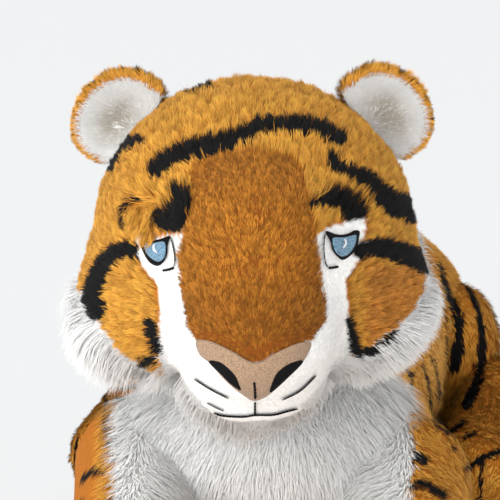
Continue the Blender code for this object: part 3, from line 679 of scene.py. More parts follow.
eyes = [
    {"side": "left", "middle": (157, 251.5), "corner": [(169.5, 236.5), (171.4, 240), (172.9, 247), (174.3, 255),
                                                         (174.6, 261), (173.4, 267)],
     "lash": [(174, 267.6), (169, 269.4), (162.1, 270.7)],
     "rim": [(139.6, 241), (143.6, 253.6), (150, 262.9), (157.9, 265.9), (164.3, 260.9), (167.1, 253.6),
             (167.6, 245.7), (169.8, 236.1), (161.4, 238.6), (154.3, 240.5), (147, 241.5)],
     "iris": [(143.6, 243.6), (148.6, 243.4), (154.3, 242.8), (161.4, 241.4), (164.8, 242.6), (165.8, 248.6),
              (165.3, 255.2), (162, 260), (157.7, 261.6), (151.6, 258.6), (146.2, 252.4)],
     "glint": [(152.6, 245.7), (155, 243.7), (154.6, 247), (155.6, 250), (157.6, 252.8), (154.6, 252), (152.6, 249.5)],
     "glintMiddle": (154, 248.6)},
    {"side": "right", "middle": (344, 245), "corner": [(325.3, 232.7), (324.1, 243.4), (324.4, 254.1), (325.9, 263.4),
                                                        (328.3, 267.5)],
     "lash": [(328.4, 268.2), (333, 267.6), (338.9, 266.6)],
     "rim": [(325.6, 231.2), (335.9, 234), (342.3, 234.6), (348.7, 233.2), (354.4, 230.3), (359.6, 231.2),
             (359.2, 237.7), (357.3, 246.3), (352.3, 254.1), (343, 260), (336.6, 255.8), (332.3, 249.9),
             (330.7, 242.5)],
     "iris": [(333.2, 237.8), (339.4, 237.4), (344, 237.4), (348.7, 236.4), (355.5, 234.8), (356.4, 237.7),
              (355.2, 244.3), (352, 250.4), (347, 255.2), (341.4, 256.4), (336.2, 252.6), (333.4, 246.5),
              (332.6, 241.3)],
     "glint": [(344.2, 238.6), (346.4, 239.9), (347.1, 243.4), (345.3, 247), (342.8, 248.3), (344, 244.9),
               (345.4, 242.4)], "glintMiddle": (345.4, 243.8)},
]


def depthInHead(points):
    return depthIn(points, headSwellings, headShape["blend"])


# How far beyond the front of the head's surface a line of sight first comes within the given height of it: steps
# find the stretch, and halving it the spot
def onHead(spots, lift):
    rays = sightRay(spots)
    lift = np.broadcast_to(lift, spots.shape[:-1])
    nearest, farthest, step = headShape["sight"]
    near, far = np.full(lift.shape, nearest), np.full(lift.shape, farthest)
    found = np.zeros(lift.shape, bool)

    def isReached(reach):
        return depthInHead(worldToHead(eyePoint + rays * reach)) < lift

    for reach in np.arange(nearest, farthest, step):
        hit = isReached(reach) & ~found
        far = np.where(hit, reach, far)
        near = np.where(found | hit, near, reach)
        found |= hit
    for _ in range(14):
        middle = (near + far) / 2
        isIn = isReached(middle[..., None])
        near, far = np.where(isIn, near, middle), np.where(isIn, middle, far)
    return eyePoint + rays * far[..., None]


# An outline's corners rounded off, and its points spread evenly
def evenOutline(outline, count):
    points = np.array(outline, float)
    closed = np.vstack([points[-1:], points, points[:2]])
    places = np.linspace(1, len(points) + 1, len(points) * 12 + 1)
    smoothPoints, _ = alongRoute(closed, places)
    steps = np.linalg.norm(np.diff(smoothPoints, axis=0), axis=1)
    travelled = np.concatenate([[0], np.cumsum(steps)])
    marks = np.arange(count) / count * travelled[-1]
    return np.stack([np.interp(marks, travelled, smoothPoints[:, k]) for k in range(2)], -1)


def sewnPiece(name, spots, lift, cloth, replaced):
    slotName, material = cloth
    dress(formPiece(name, Form(onHead(spots, lift))), material, "head", replaced)


# A sewn patch: rings from the middle of its outline to its edge, domed on top, and back underneath
def sewnPatch(name, outline, middle, low, high, cloth, replaced, count=96):
    rim = evenOutline(outline, count)
    out = np.array([0, 0.12, 0.25, 0.38, 0.5, 0.62, 0.73, 0.82, 0.9, 0.96, 1, 0.96, 0.7, 0.35, 0])
    height = low + (high - low) * np.sqrt(1 - out ** 6)
    height[10] = low
    height[11:] = -0.001
    spots = np.array(middle) + (rim - np.array(middle))[None] * out[:, None, None]
    sewnPiece(name, spots, height[:, None], cloth, replaced)


stitch = {"thick": 0.0007, "length": 3.2, "waist": 0.78, "swell": 0.3, "end": 0.08}


# A stitched line: its section is a flat oval carried along the line, a little narrower between one stitch and the
# next, and both its ends taper to a point
def sewnLine(name, line, width, low, cloth, replaced, count=121):
    places = np.linspace(0, len(line) - 1, count)
    spot, onward = alongRoute(line, places)
    across = np.stack([onward[:, 1], -onward[:, 0]], -1)
    end = np.minimum(np.arange(count), np.arange(count)[::-1]) / (count * stitch["end"])
    run = np.concatenate([[0], np.cumsum(np.linalg.norm(np.diff(spot, axis=0), axis=1))])
    swell = stitch["waist"] + stitch["swell"] * np.abs(np.sin(run * math.pi / stitch["length"]))
    taper = np.sqrt(np.clip(end, 0, 1)) * swell
    around = np.arange(8) / 8 * 2 * math.pi
    spots = spot[:, None] + across[:, None] * (np.cos(around)[None] * (width / 2 * taper)[:, None])[..., None]
    sewnPiece(name, spots, low + stitch["thick"] * np.sin(around)[None] * taper[:, None], cloth, replaced)


# Lengths of the head's pile, and what its hairs share
headPile = {"perSquareMm": 3.0, "ruffs": (0.028, 0.019), "face": 0.0024, "cheek": 0.0075, "crown": 0.0105,
            "chin": 0.011, "bridge": (0.0048, 0.0075), "brow": 0.0125, "atNose": 0.0032, "besideThread": 0.0011}
headCoat = {"seed": 20, "bend": 0.55, "swirl": 0.3, "swirlSize": 0.016, "stray": 0.18, "tuftStray": 0.4,
            "ripple": 0.25, "hairShade": 0.17, "normalLean": 0.25, "slots": {}}


def makeHead():
    form = Form(headToWorld(swollenGrid(headShape, headSwellings)))
    onFace = ("brow_", "eye_", "iris_", "tear_", "nostril_", "mouth_", "whisker_", "nose_pad")
    skinPiece("headStuffed", "head", form, headColours(form.corners, form.corners, form.normals, 0),
              [node for node in nodesOf("head") if not node.startswith(onFace)])
    roots, normals = form.scatter(headPile["perSquareMm"], 11)
    spots = pictureSpot(roots)
    seen = facing(roots, normals) > -0.1
    local = worldToHead(roots)
    muzzleGap = np.where(inside(spots, muzzleOutline), 0, outlineDistance(spots, muzzleOutline))
    onBridge = inside(spots, bridgeOutline) & seen
    rooted = headColours(roots, roots, normals, 1)
    isWhite = rooted == white
    ruff = np.where(local[:, 0] > 0, headPile["ruffs"][1], headPile["ruffs"][0])
    longWhite = mix(headPile["face"], ruff, smooth(0, np.where(spots[:, 1] > 365, 22, 40), muzzleGap))
    coloured = mix(headPile["cheek"], headPile["crown"], smooth(0.05, 0.08, local[:, 2]))
    length = np.where(seen & isWhite, longWhite, np.where(isWhite, ruff, coloured))
    chin = seen & isWhite & (np.abs(spots[:, 0] - 256) < 60) & (spots[:, 1] > 415)
    length = np.where(chin, np.maximum(length, headPile["chin"]), length)
    length = np.where(onBridge, mix(*headPile["bridge"], smooth(178, 152, spots[:, 1])), length)
    brow = np.zeros(len(roots), bool)
    for outline in browOutlines + [browTuft]:
        brow |= inside(spots, outline) & seen
    hanging = inside(spots, browTuft) & seen
    length = np.where(brow, headPile["brow"], length)
    keep = np.interp(length, [0.003, 0.005, 0.011, 0.024], [1, 0.9, 0.6, 0.5]) * np.where(seen, 1, 0.5)
    bare = inside(spots, noseOutline)
    for eye in eyes:
        bare |= inside(spots, eye["rim"]) & ~hanging
    threadGap = np.full(len(roots), 99.0)
    for line, width in [(line["line"], line["width"]) for line in threadLines] + [
            (eye[part], 2) for eye in eyes for part in ("corner", "lash")]:
        gap, _ = lineDistance(spots, line)
        bare |= gap < width / 2
        threadGap = np.minimum(threadGap, gap)
    mostLength = mix(headPile["besideThread"], 0.030, smooth(1.5, 14, threadGap))
    length = np.where(seen & ~brow, np.minimum(length, mostLength), length)
    nearNose = np.where(onBridge, smooth(12, 3, outlineDistance(spots, noseOutline)), 0)
    length = mix(length, headPile["atNose"], nearNose)
    keep = np.where(bare & seen, 0, keep)
    roots, normals, local, length, brow, hanging, chin, onBridge, rooted, nearNose, spots = thinned(
        keep, 12, roots, normals, local, length, brow, hanging, chin, onBridge, rooted, nearNose, spots)
    isWhite = rooted == white
    away = (local - np.array((0, -0.13, -0.03))) @ headTurn.T
    longness = smooth(0.012, 0.024, length)
    comb = unit(away) + np.array((0, 0, -0.9)) * longness[:, None]
    comb = mix(comb, np.array((0.25, -0.2, -1.0)), (hanging * smooth(192, 210, spots[:, 1]))[:, None])
    comb = np.where(chin[:, None], np.array((0.0, -0.35, -1.0)), comb)
    comb = mix(comb, np.array((0.0, -0.5, -1.0)), nearNose[:, None])
    # Painted shade: the bridge pile gets darker towards the nose
    open = 0.5 * smooth(262, 345, spots[:, 1]) * onBridge
    # Painted shade on the right cheek, the side turned away from the lamps
    rightCheekShade = smooth(352, 366, spots[:, 0]) * smooth(258, 275, spots[:, 1]) * (rooted == orange)
    short = smooth(0.009, 0.004, length)
    colours = headColours(roots + towardsMiddle(comb, normals, length), roots, normals, 2)
    # The tone darkens the lower bridge as painted shade
    tone = mix(np.ones(3), np.array((0.45, 0.38, 0.4)), open[:, None])
    # The tone darkens the orange of the right cheek as painted shade
    tone = mix(tone, np.array((0.80, 0.68, 0.80)), (rightCheekShade * (colours == orange))[:, None])
    tuftPull = np.where(length < 0.004, 0.1, np.where(isWhite, 0.04, 0.5))
    coat = dict(headCoat, length=length, tone=tone, sag=0.2 * longness,
                lift=np.where(brow, 0.95, mix(mix(0.8, 0.85, longness), 0.6, short)),
                tuftSize=np.where(onBridge, 0.0021, np.where(length < 0.006, 0.003, 0.0042)),
                tuftPull=np.where(onBridge, 0.35, tuftPull), tuftShade=np.where(onBridge, 0.42, 0.24),
                width=mix(mix(0.00045, 0.00034, short), 0.00055, longness))
    coat = coatWhere(coat, isWhite, tuftStray=0.04, ripple=0.03, tuftShade=0.02, hairShade=0.03,
                     normalLean=mix(0.25, -0.1, longness))
    grown = growCoat("headPile", "head", roots, normals, comb, colours, coat)
    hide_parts(*nodesNamed("brow_"))


# Colour by where a hair's middle shows in the picture, and by simple bands where the picture doesn't reach
def headColours(points, roots, normals, seed):
    spots = pictureSpot(points)
    if seed:
        spots = spots + np.random.default_rng(seed).normal(0, 0.9, spots.shape)
    rootSpots = pictureSpot(roots)
    seen = facing(roots, normals) > -0.1
    local = worldToHead(roots)
    line = np.where(local[:, 0] > 0, -0.008, -0.036)
    colours = np.where((local[:, 2] < line) & (local[:, 1] < 0.045), white, orange)
    angle = np.arctan2(local[:, 2], local[:, 1]) + 0.12 * softNoise(local, 0.03, 8)
    for middle, half, reach in ((0.35, 0.085, 0.07), (0.85, 0.08, 0.06), (1.25, 0.07, 0.045)):
        taper = np.clip(1 - np.abs(local[:, 0]) / reach, 0, 1)
        colours = np.where((np.abs(angle - middle) < half * taper) & (local[:, 1] > 0), black, colours)
    shown = np.full(len(points), orange)
    shown = np.where(inside(spots, whiteOutline), white, shown)
    shown = np.where(inside(rootSpots, browTuft), orange, shown)
    for outline in browOutlines:
        edge = np.where(inside(spots, outline), 0, outlineDistance(spots, outline))
        shown = np.where(edge < 1.2, black, shown)
    for stroke in blackStrokes:
        shown = np.where(onStroke(spots, stroke), black, shown)
    shown = np.where(inside(rootSpots, bridgeOutline), bridge, shown)
    return np.where(seen, shown, colours)


threadLines = [
    {"name": "philtrum", "line": [(254.2, 382), (255, 391), (255.3, 399.5)], "width": 2.6, "low": 0.0029},
    {"name": "lipSeam", "line": [(255, 402), (255, 409), (254.8, 415)], "width": 2.0, "low": 0.0009},
    {"name": "mouth", "width": 2.0, "low": 0.0009, "nodes": ["mouth_stitching"],
     "line": [(213, 413), (222.9, 416), (242.5, 417), (255, 415.4), (273.8, 415), (287, 411.6), (298.8, 408.8)]},
    {"name": "whiskerLeft", "line": [(193.4, 378.8), (209.5, 389.2), (228.7, 399)], "width": 1.2, "low": 0.0009,
     "nodes": ["whisker_stitching_left"]},
    {"name": "whiskerRight", "line": [(317, 375.3), (300.5, 391), (281.8, 400.7)], "width": 1.2, "low": 0.0009,
     "nodes": ["whisker_stitching_right"]},
    {"name": "whiskerSmall", "line": [(206.3, 403), (215.7, 407.9), (223.8, 411.4)], "width": 0.9, "low": 0.0009},
]
nostrils = [("Left", [(208.6, 361.6), (218.4, 361.4), (227, 367), (235.4, 375.7), (239, 383.8), (240.3, 390.5),
                      (230, 383.8), (219.3, 373)], (227, 375)),
            ("Right", [(303.2, 362), (293.4, 362), (282.7, 367.7), (274.6, 376.6), (270.2, 392.7), (285.4, 380.2)],
             (283, 376))]


def makeFace():
    blackThread = ("black_thread", threadMaterial("blackThread", (0.006, 0.006, 0.007), 0.6, 0.4, 0.5))
    irisThread = ("blue_thread", clothMaterial("irisThread", (0.21, 0.39, 0.55), 1000, 0.25))
    whiteThread = ("white_thread", threadMaterial("whiteThread", (0.85, 0.87, 0.9), 0.2, 0.2, 0.4))
    noseCloth = ("nose_cloth", clothMaterial("noseCloth", (0.385, 0.25, 0.155), 900, 0.62))
    sewnPatch("nosePad", noseOutline, (255, 374), 0.0006, 0.0030, noseCloth, ["nose_pad"], 144)
    for word, outline, middle in nostrils:
        sewnPatch("nostril" + word, outline, middle, 0.0026, 0.0036, blackThread, ["nostril_" + word.lower()])
    for line in threadLines:
        sewnLine(line["name"], line["line"], line["width"], line["low"], blackThread, line.get("nodes", []))
    for eye in eyes:
        side, word = eye["side"], eye["side"].capitalize()
        sewnPatch("eyeRim" + word, eye["rim"], eye["middle"], 0.0004, 0.0026, blackThread, ["eye_outline_" + side])
        sewnPatch("iris" + word, eye["iris"], eye["middle"], 0.0026, 0.0033, irisThread, ["iris_" + side], 72)
        sewnPatch("glint" + word, eye["glint"], eye["glintMiddle"], 0.0032, 0.0038, whiteThread,
                  ["eye_highlight_" + side], 48)
        sewnLine("innerCorner" + word, eye["corner"], 1.2, 0.0009, blackThread, ["tear_line_" + side])
        sewnLine("lowerCorner" + word, eye["lash"], 2.6, 0.0009, blackThread, [], 41)
    print("face sewn")


earShape = {"halfWidth": 0.0318, "height": 0.0358, "root": 0.005, "thick": 0.0068, "cup": 0.010,
            "middleShare": 0.32, "lean": math.radians(52), "direction": (0.80, 0.34, 0.555), "sink": 0.0004,
            "rows": 48, "segments": 96, "rimShare": 0.85,
            "hollow": (0.002, 0.008), "slide": {"left": 0.0, "right": 0.004}}
earCoat = {"seed": 34, "bend": 0.3, "sag": 0.0, "normalLean": 0.1, "ripple": 0.25, "swirl": 0.3, "swirlSize": 0.01,
           "stray": 0.2, "tuftSize": 0.0035, "tuftPull": 0.45, "tuftStray": 0.3, "width": 0.0004, "tuftShade": 0.16,
           "hairShade": 0.12, "slots": {}}


# A cupped plate: half an ellipse above its middle, a squarer curve below, and a hollow that faces forwards
def makeEar(side, word):
    rays = poleRays(earShape["rows"], earShape["segments"])
    out = np.hypot(rays[..., 0], rays[..., 2])
    x, z = (rays[..., k] / np.maximum(out, tiny) for k in (0, 2))
    middle = earShape["middleShare"] * earShape["height"]
    halfHeight = np.where(z > 0, earShape["height"] - middle, middle + earShape["root"])
    power = np.where(z > 0, 2, 4)
    powers = np.abs(x / earShape["halfWidth"]) ** power + np.abs(z / halfHeight) ** power
    edge = np.maximum(powers, tiny) ** (-1 / power)
    cup = earShape["cup"] * (1 - out ** 2)
    grid = np.stack([x * out * edge, cup + rays[..., 1] * earShape["thick"], middle + z * out * edge], -1)
    ray = unit(np.array(earShape["direction"]))
    lower, upper = 0.0, 0.3
    for _ in range(30):
        half = (lower + upper) / 2
        lower, upper = (half, upper) if depthInHead(ray * half) < 0 else (lower, half)
    rise = np.array((math.sin(earShape["lean"]), 0, math.cos(earShape["lean"])))
    hinge = (ray * lower + rise * (earShape["root"] - earShape["sink"])) * np.array((side, 1, 1))
    turn = turnAbout("Y", side * earShape["lean"])
    hinge = hinge - turn @ np.array((side * earShape["slide"][word], 0, 0))
    form = Form(headToWorld(grid @ turn.T + hinge))
    inPlate = Form(grid)

    def colourOf(local, front):
        up = np.maximum(local[:, 2] - middle, 0)
        out = np.hypot(local[:, 0] / earShape["halfWidth"], up / (earShape["height"] - middle))
        return np.where(front & (out < earShape["rimShare"]), earWhite, orange)

    skinPiece("earStuffed" + word.capitalize(), "ear_" + word, form,
              colourOf(inPlate.corners, inPlate.normals[:, 1] < 0), ["ear_outer_" + word, "ear_inner_" + word])
    roots, normals = form.scatter(2.4, 31)
    local = (worldToHead(roots) - hinge) @ turn
    front = (normals @ headTurn @ turn)[:, 1] < 0
    fuzzy = local + np.random.default_rng(33).normal(0, 0.0006, local.shape)
    colours = colourOf(fuzzy, front)
    away = np.stack([local[:, 0], np.zeros(len(local)), local[:, 2] + 0.012], -1)
    comb = away @ turn.T @ headTurn.T
    outer = smooth(-0.01, 0.02, side * local[:, 0])
    length = np.where(front & (colours != orange), 0.0058, mix(0.0090, 0.0050, outer))
    # Painted shade in the ear's hollow: the white pile darkens towards a spot low in the middle of the ear's front
    hollow = np.hypot((side * local[:, 0] - earShape["hollow"][0]) / 1.3, local[:, 2] - earShape["hollow"][1])
    hollowShade = smooth(0.019, 0.003, hollow) * (colours == earWhite)
    coat = coatWhere(dict(earCoat, length=length, lift=np.where(front, 0.5, 0.7),
                          tone=mix(np.ones(3), np.array((0.50, 0.455, 0.385)), hollowShade[:, None])),
                     colours != orange, ripple=0.08, tuftPull=0.15, tuftStray=0.1, tuftShade=0.02, hairShade=0.03)
    growCoat("earPile" + word.capitalize(), "ear_" + word, roots, normals, comb, colours, coat)


neckShape = {"radius": 0.062, "rows": 40, "segments": 64, "behind": 0.01}
bodyCoat = {"seed": 50, "length": 0.011, "lift": 0.7, "bend": 0.5, "sag": 0.0, "swirl": 0.4, "swirlSize": 0.03,
            "stray": 0.2, "tuftSize": 0.0055, "tuftPull": 0.45, "tuftStray": 0.35, "width": 0.0007,
            "tuftShade": 0.14, "hairShade": 0.1, "tone": 1.0, "normalLean": 0.25, "ripple": 0.25,
            "slots": {"white": "white_long_pile"}}


# A ball about the joint, so that it looks the same however the head turns
def makeNeck():
    centre = np.array(headSeat["neck"])
    edge = centre[1] + neckShape["behind"]
    form = Form(centre + poleRays(neckShape["rows"], neckShape["segments"]) * neckShape["radius"])
    skinPiece("neckStuffed", "neck", form, np.where(form.corners[:, 1] < edge, white, orange),
              ["neck_stuffing"])
    roots, normals = form.scatter(0.7, 41)
    colours = np.where(roots[:, 1] + softNoise(roots, 0.01, 4) * 0.004 < edge, white, orange)
    comb = np.array((0, 0.3, -1.0)) + np.zeros_like(roots)
    coat = coatWhere(dict(bodyCoat, seed=42, lift=0.8, length=0.014), colours == white, length=0.024, normalLean=0.4)
    growCoat("neckPile", "neck", roots, normals, comb, colours, coat)

# Strokes of the flank, shoulder and legs where the picture shows them
bodyStrokes = [
    ([(440, 262), (445, 280), (451, 298)], 3, 8),
    ([(451, 298), (458, 316), (459, 342), (455, 368)], 8, 13),
    ([(464, 278), (470, 292), (478, 306), (483, 330), (483, 352), (478, 380), (466, 404)], 5, 12),
    ([(448, 432), (464, 421)], 5, 6),
    ([(465, 438), (476, 432)], 5, 5),
    ([(468, 468), (487, 456), (502, 451)], 6, 9),
    ([(432, 357), (437, 370), (439, 385), (440, 402)], 2, 2.4),
    ([(423, 364), (428, 380), (431, 395), (432, 410), (435, 423), (446, 430)], 2.2, 4),
    ([(444, 300), (447, 320), (448, 345), (447, 366)], 1.5, 1.5),
    ([(411, 372), (410, 384), (411, 396)], 6, 7),
    ([(412, 399), (411, 408), (410, 416)], 4, 4),
    ([(410, 438), (411, 448)], 5, 5),
    ([(413, 452), (420, 457), (425, 460)], 12, 10),
    ([(417, 482), (430, 486), (445, 494)], 9, 9),
    ([(454, 443), (456, 449)], 3, 4),
    ([(104, 386), (105, 408), (107, 428)], 3.5, 5),
    ([(107, 428), (111, 446), (113, 462)], 4, 5),
    ([(81, 481), (88, 473), (101, 466)], 4, 7),
    ([(108, 496), (122, 495)], 4, 4),
]


# Stripes across a limb or the back: bands at places along it, which wander and narrow away from the middle
def banded(along, around, places, half, reach, points, seed):
    wander = softNoise(points, 0.035, seed) * 0.009
    isBand = np.zeros(len(along), bool)
    for k, place in enumerate(places):
        taper = np.clip(1 - (np.abs(around) / reach) ** 1.5, 0, 1)
        width = half * (0.75 + 0.25 * ((k * 7) % 3 - 1)) * taper
        isBand |= np.abs(along + wander + 0.006 * around * (-1) ** k - place) < width
    return isBand


# What the picture shows of the body behind and below the head: its strokes, and the white of the chest
def shownBody(points, normals, colours, seed):
    spots = pictureSpot(points) + np.random.default_rng(seed).normal(0, 0.8, (len(points), 2))
    x, y = spots[:, 0], spots[:, 1]
    seen = (facing(points, normals) > -0.05) & (points[:, 1] < 0.24)
    strip = seen & (y < 503) & (((x > 411) & (x < 503)) | ((x < 116) & (x > 60) & (y > 380)))
    shown = np.full(len(points), orange)
    for stroke in bodyStrokes:
        shown = np.where(onStroke(spots, stroke), black, shown)
    return np.where(strip, shown, colours)


def chestWhite(points, normals):
    spots = pictureSpot(points)
    behind = -0.112 + 0.032 * smooth(0.045, 0.075, -points[:, 0]) + 0.008 * softNoise(points, 0.02, 67)
    half = 150 + 6 * softNoise(points, 0.006, 68)
    return (np.abs(spots[:, 0] - 264) < half) & (facing(points, normals) > -0.25) & (points[:, 1] < behind)


trunkShape = {"blend": 0.010, "spine": 0.130, "rows": 90, "segments": 110, "centre": (0, 0, 0.0755)}
trunkSwellings = [((0, 0, 0.0755), (0.094, 0.15181, 0.076)),
                  ((0, -0.13489, 0.068), (0.099, 0.09588, 0.061)),
                  ((0, 0.13019, 0.077), (0.099, 0.1081, 0.074))]


def trunkColours(points, normals, seed):
    around = np.arctan2(points[:, 0], points[:, 2] - 0.06)
    places = (-0.13, -0.085, -0.04, 0.0, 0.04, 0.08, 0.12, 0.16, 0.20)
    isBand = banded(points[:, 1], around, places, 0.0085, 1.9, points, 61)
    colours = np.where(isBand, black, orange)
    colours = np.where(points[:, 2] < 0.020, white, colours)
    colours = shownBody(points, normals, colours, seed)
    return np.where(chestWhite(points, normals), white, colours)


trunkPile = {"perSquareMm": 0.62, "chest": (0.015, 0.022), "back": 0.009, "flank": 0.0075, "shoulder": 0.005,
             "low": 0.013, "shoulderPaintedLight": (1.12, 1.25, 1.7)}


def makeTrunk():
    form = Form(onFloor(swollenGrid(trunkShape, trunkSwellings)))
    skinPiece("trunkStuffed", "trunk", form, trunkColours(form.corners, form.normals, 60), nodesOf("trunk"))
    roots, normals = offFloor(63, *form.scatter(trunkPile["perSquareMm"], 62))
    chest = chestWhite(roots, normals)
    ones = np.ones(len(roots))
    comb = np.where(chest[:, None], np.stack([roots[:, 0] * 4, -0.2 * ones, -ones], -1),
                    np.stack([0 * ones, ones, -0.5 * (roots[:, 2] < 0.12)], -1))
    edge = smooth(0.045, 0.075, np.abs(roots[:, 0]))
    spots = pictureSpot(roots)
    flank = (facing(roots, normals) > -0.05) * smooth(402, 412, spots[:, 0]) * smooth(505, 470, spots[:, 1])
    comb = np.where(chest[:, None], comb, mix(comb, np.array((0.0, 0.1, -1.0)), flank[:, None]))
    shoulder = flank * smooth(462, 448, spots[:, 0]) * smooth(290, 320, spots[:, 1])
    low = flank * smooth(0.085, 0.06, roots[:, 2])
    coloured = mix(mix(trunkPile["back"], trunkPile["flank"], flank), trunkPile["shoulder"], shoulder * (1 - low))
    length = np.where(chest, mix(*trunkPile["chest"], edge), mix(coloured, trunkPile["low"], low))
    # Painted light: the pile on the shoulder is made paler and brighter where light falls on the bulge of the body
    tone = mix(np.ones(3), np.array(trunkPile["shoulderPaintedLight"]), shoulder[:, None])
    colours = trunkColours(roots + towardsMiddle(comb, normals, length), normals, 64)
    coat = coatWhere(dict(bodyCoat, length=length, tone=np.where(chest[:, None], 1.0, tone)), chest, lift=0.65,
                     sag=0.1, ripple=0.06, tuftStray=0.08, tuftShade=0.02, hairShade=0.03, width=0.00055,
                     tuftPull=0.08, normalLean=0.4)
    growCoat("trunkPile", "trunk", roots, normals, comb, colours, coat)


foreleg = {"root": (0.08514, -0.14927, 0.05092), "splay": 0.004, "length": 0.212, "paw": 0.0365,
           "turn": math.radians(9),
           "stations": (0, 0.3, 0.65, 1), "widths": (0.046, 0.0405, 0.035, 0.040),
           "heights": (0.046, 0.041, 0.036, 0.037), "cap": 0.25, "rows": 80, "segments": 72}
hindLeg = {"centre": (0.09207, 0.13019, 0.0515), "thighHalf": 0.034, "thighRadius": 0.051, "footX": 0.12507,
           "heel": -0.030, "length": 0.165, "heelZ": 0.0278, "toeZ": 0.0275, "stations": (0, 0.3, 0.65, 1),
           "widths": (0.027, 0.0258, 0.0276, 0.030), "heights": (0.0277, 0.0258, 0.0258, 0.028), "cap": 0.25,
           "rows": 72, "segments": 64}


# Black lines sewn between the toes, on the front of a paw; the places run across and along it
def toeLines(across, along, height, front, spacing):
    across = np.abs(across)
    near = np.minimum(np.abs(across - spacing * 0.5), np.abs(across - spacing * 1.5))
    return (near < 0.0013) & (along > front) & (height > 0.006) & (height < 0.05)


def makeForeleg(side, word):
    x, y, z = foreleg["root"]
    start = np.array((side * x, y, z))
    turn = turnAbout("Z", foreleg["turn"])
    reach = turn @ np.array((side * foreleg["splay"], -foreleg["length"], foreleg["paw"] - z))
    form = limbForm(foreleg, start, start + reach)
    body = "foreleg_" + word

    def colourOf(points, normals, seed):
        own = (points - start) @ turn
        along = -own[:, 1]
        around = np.arctan2(own[:, 0] * side - 0.01, points[:, 2] - 0.03)
        isBand = banded(along, around, (0.035, 0.068, 0.102, 0.138, 0.172), 0.0075, 1.7, points, 71)
        colours = np.where(isBand, black, orange)
        colours = np.where(points[:, 2] < 0.020, white, colours)
        colours = shownBody(points, normals, colours, seed)
        isToe = toeLines(own[:, 0] - side * foreleg["splay"], along, points[:, 2], foreleg["length"] + 0.012, 0.02)
        colours = np.where(isToe, black, colours)
        spots = pictureSpot(points)
        isChest = ((spots[:, 0] > 111) if side < 0 else (spots[:, 0] < 412)) & (spots[:, 1] < 516)
        return np.where(isChest & (along > -0.05), white, colours)

    skinPiece("forelegStuffed" + word.capitalize(), body, form, colourOf(form.corners, form.normals, 70),
              nodesNamed("foreleg", word))
    roots, normals = offFloor(73, *form.scatter(0.62, 72))
    isLong = (colourOf(roots, normals, 74) == white) & (roots[:, 2] > 0.024)
    acrossLeg = ((roots - start) @ turn)[:, 0]
    outer = np.where(side < 0, smooth(0.0, -0.03, acrossLeg), 0)
    length = np.where(isLong, 0.017, mix(0.0075, 0.003, outer))
    forwards = turn @ np.array((0, -1.0, 0))
    across = turn @ np.array((1.0, 0, 0))
    aside = np.clip(acrossLeg[:, None] / 0.012, -1, 1)
    comb = np.where(isLong[:, None], forwards * 0.3 + across * aside * 0.35 + np.array((0, 0, -0.7)),
                    forwards * 0.45 + across * aside * 0.6 + np.array((0, 0, -0.55)))
    colours = colourOf(roots + towardsMiddle(comb, normals, length), normals, 75)
    coat = coatWhere(dict(bodyCoat, seed=76, length=length, lift=mix(0.5, 0.25, outer)), isLong, ripple=0.1,
                     tuftPull=0.15, tuftStray=0.12, tuftShade=0.02, hairShade=0.03, normalLean=0.4)
    growCoat("forelegPile" + word.capitalize(), body, roots, normals, comb, colours, coat)

def makeHindLeg(side, word):
    cx, cy, cz = hindLeg["centre"]
    centre = np.array((side * cx, cy, cz))
    rays = poleRays(48, 96)
    thighHalf = np.array((hindLeg["thighRadius"], hindLeg["thighHalf"], hindLeg["thighRadius"]))
    turned = np.stack([rays[..., 1] * thighHalf[1], -rays[..., 0] * thighHalf[0], rays[..., 2] * thighHalf[2]], -1)
    thigh = Form(onFloor(centre + turned))
    footX = side * hindLeg["footX"]
    heel = (footX, cy + hindLeg["heel"], hindLeg["heelZ"])
    toes = (footX, heel[1] - hindLeg["length"], hindLeg["toeZ"])
    foot = limbForm(hindLeg, heel, toes)
    body = "hind_leg_" + word

    def colourOf(points, normals, seed):
        turn = np.arctan2(points[:, 2] - 0.02, points[:, 1] - cy)
        wander = softNoise(points, 0.03, 81) * 0.12
        out = np.hypot(points[:, 1] - cy, points[:, 2] - cz)
        isBand = np.zeros(len(points), bool)
        for place in (0.45, 0.95, 1.5, 2.05, 2.6):
            isBand |= (np.abs(turn + wander - place) < 0.10 * smooth(0.062, 0.03, out + 0.03)) & (out > 0.012)
        isBand &= points[:, 1] > cy - 0.06
        footBand = banded(points[:, 1], (points[:, 0] - footX) * 20, (0.03, 0.0, -0.03), 0.006, 1.2, points, 82)
        isBand |= footBand & (points[:, 1] < cy - 0.062)
        colours = np.where(isBand, black, orange)
        colours = np.where(points[:, 2] < 0.012, white, colours)
        colours = shownBody(points, normals, colours, seed)
        isToe = toeLines(points[:, 0] - footX, -points[:, 1], points[:, 2], 0.010 - toes[1], 0.016)
        return np.where(isToe, black, colours)

    for name, form, fill, nodes, seed in (("thighStuffed", thigh, 0.8, "thigh", 83),
                                          ("hindFootStuffed", foot, 0.85, "hind_paw", 84)):
        skinPiece(name + word.capitalize(), body, form, colourOf(form.corners, form.normals, seed),
                  nodesNamed(nodes, word))
    for name, form, seed, length, lie in (("thighPile", thigh, 85, 0.008, (0, -0.3, -1.0)),
                                          ("hindFootPile", foot, 86, 0.007, (0, -1.0, -0.3))):
        roots, normals = form.scatter(0.6, seed)
        buried = (roots[:, 2] < floorGap["root"]) | ((form is thigh) & (np.abs(roots[:, 0]) < 0.075))
        roots, normals = thinned(np.where(buried, 0, 1), seed + 10, roots, normals)
        comb = np.array(lie) + np.zeros_like(roots)
        colours = colourOf(roots + towardsMiddle(comb, normals, length), normals, seed + 20)
        growCoat(name + word.capitalize(), body, roots, normals, comb, colours,
                 dict(bodyCoat, seed=seed + 30, length=length))


tail = {"route": [(0, 0.22629, 0.062), (0, 0.26379, 0.04075), (-0.015, 0.30129, 0.0195), (-0.06, 0.33129, 0.0195),
                  (-0.135, 0.31629, 0.0195), (-0.21, 0.28129, 0.0195)],
        "sizes": (0.024, 0.0205, 0.0205, 0.0205, 0.0205, 0.0205), "cap": 0.125, "tip": 0.16}


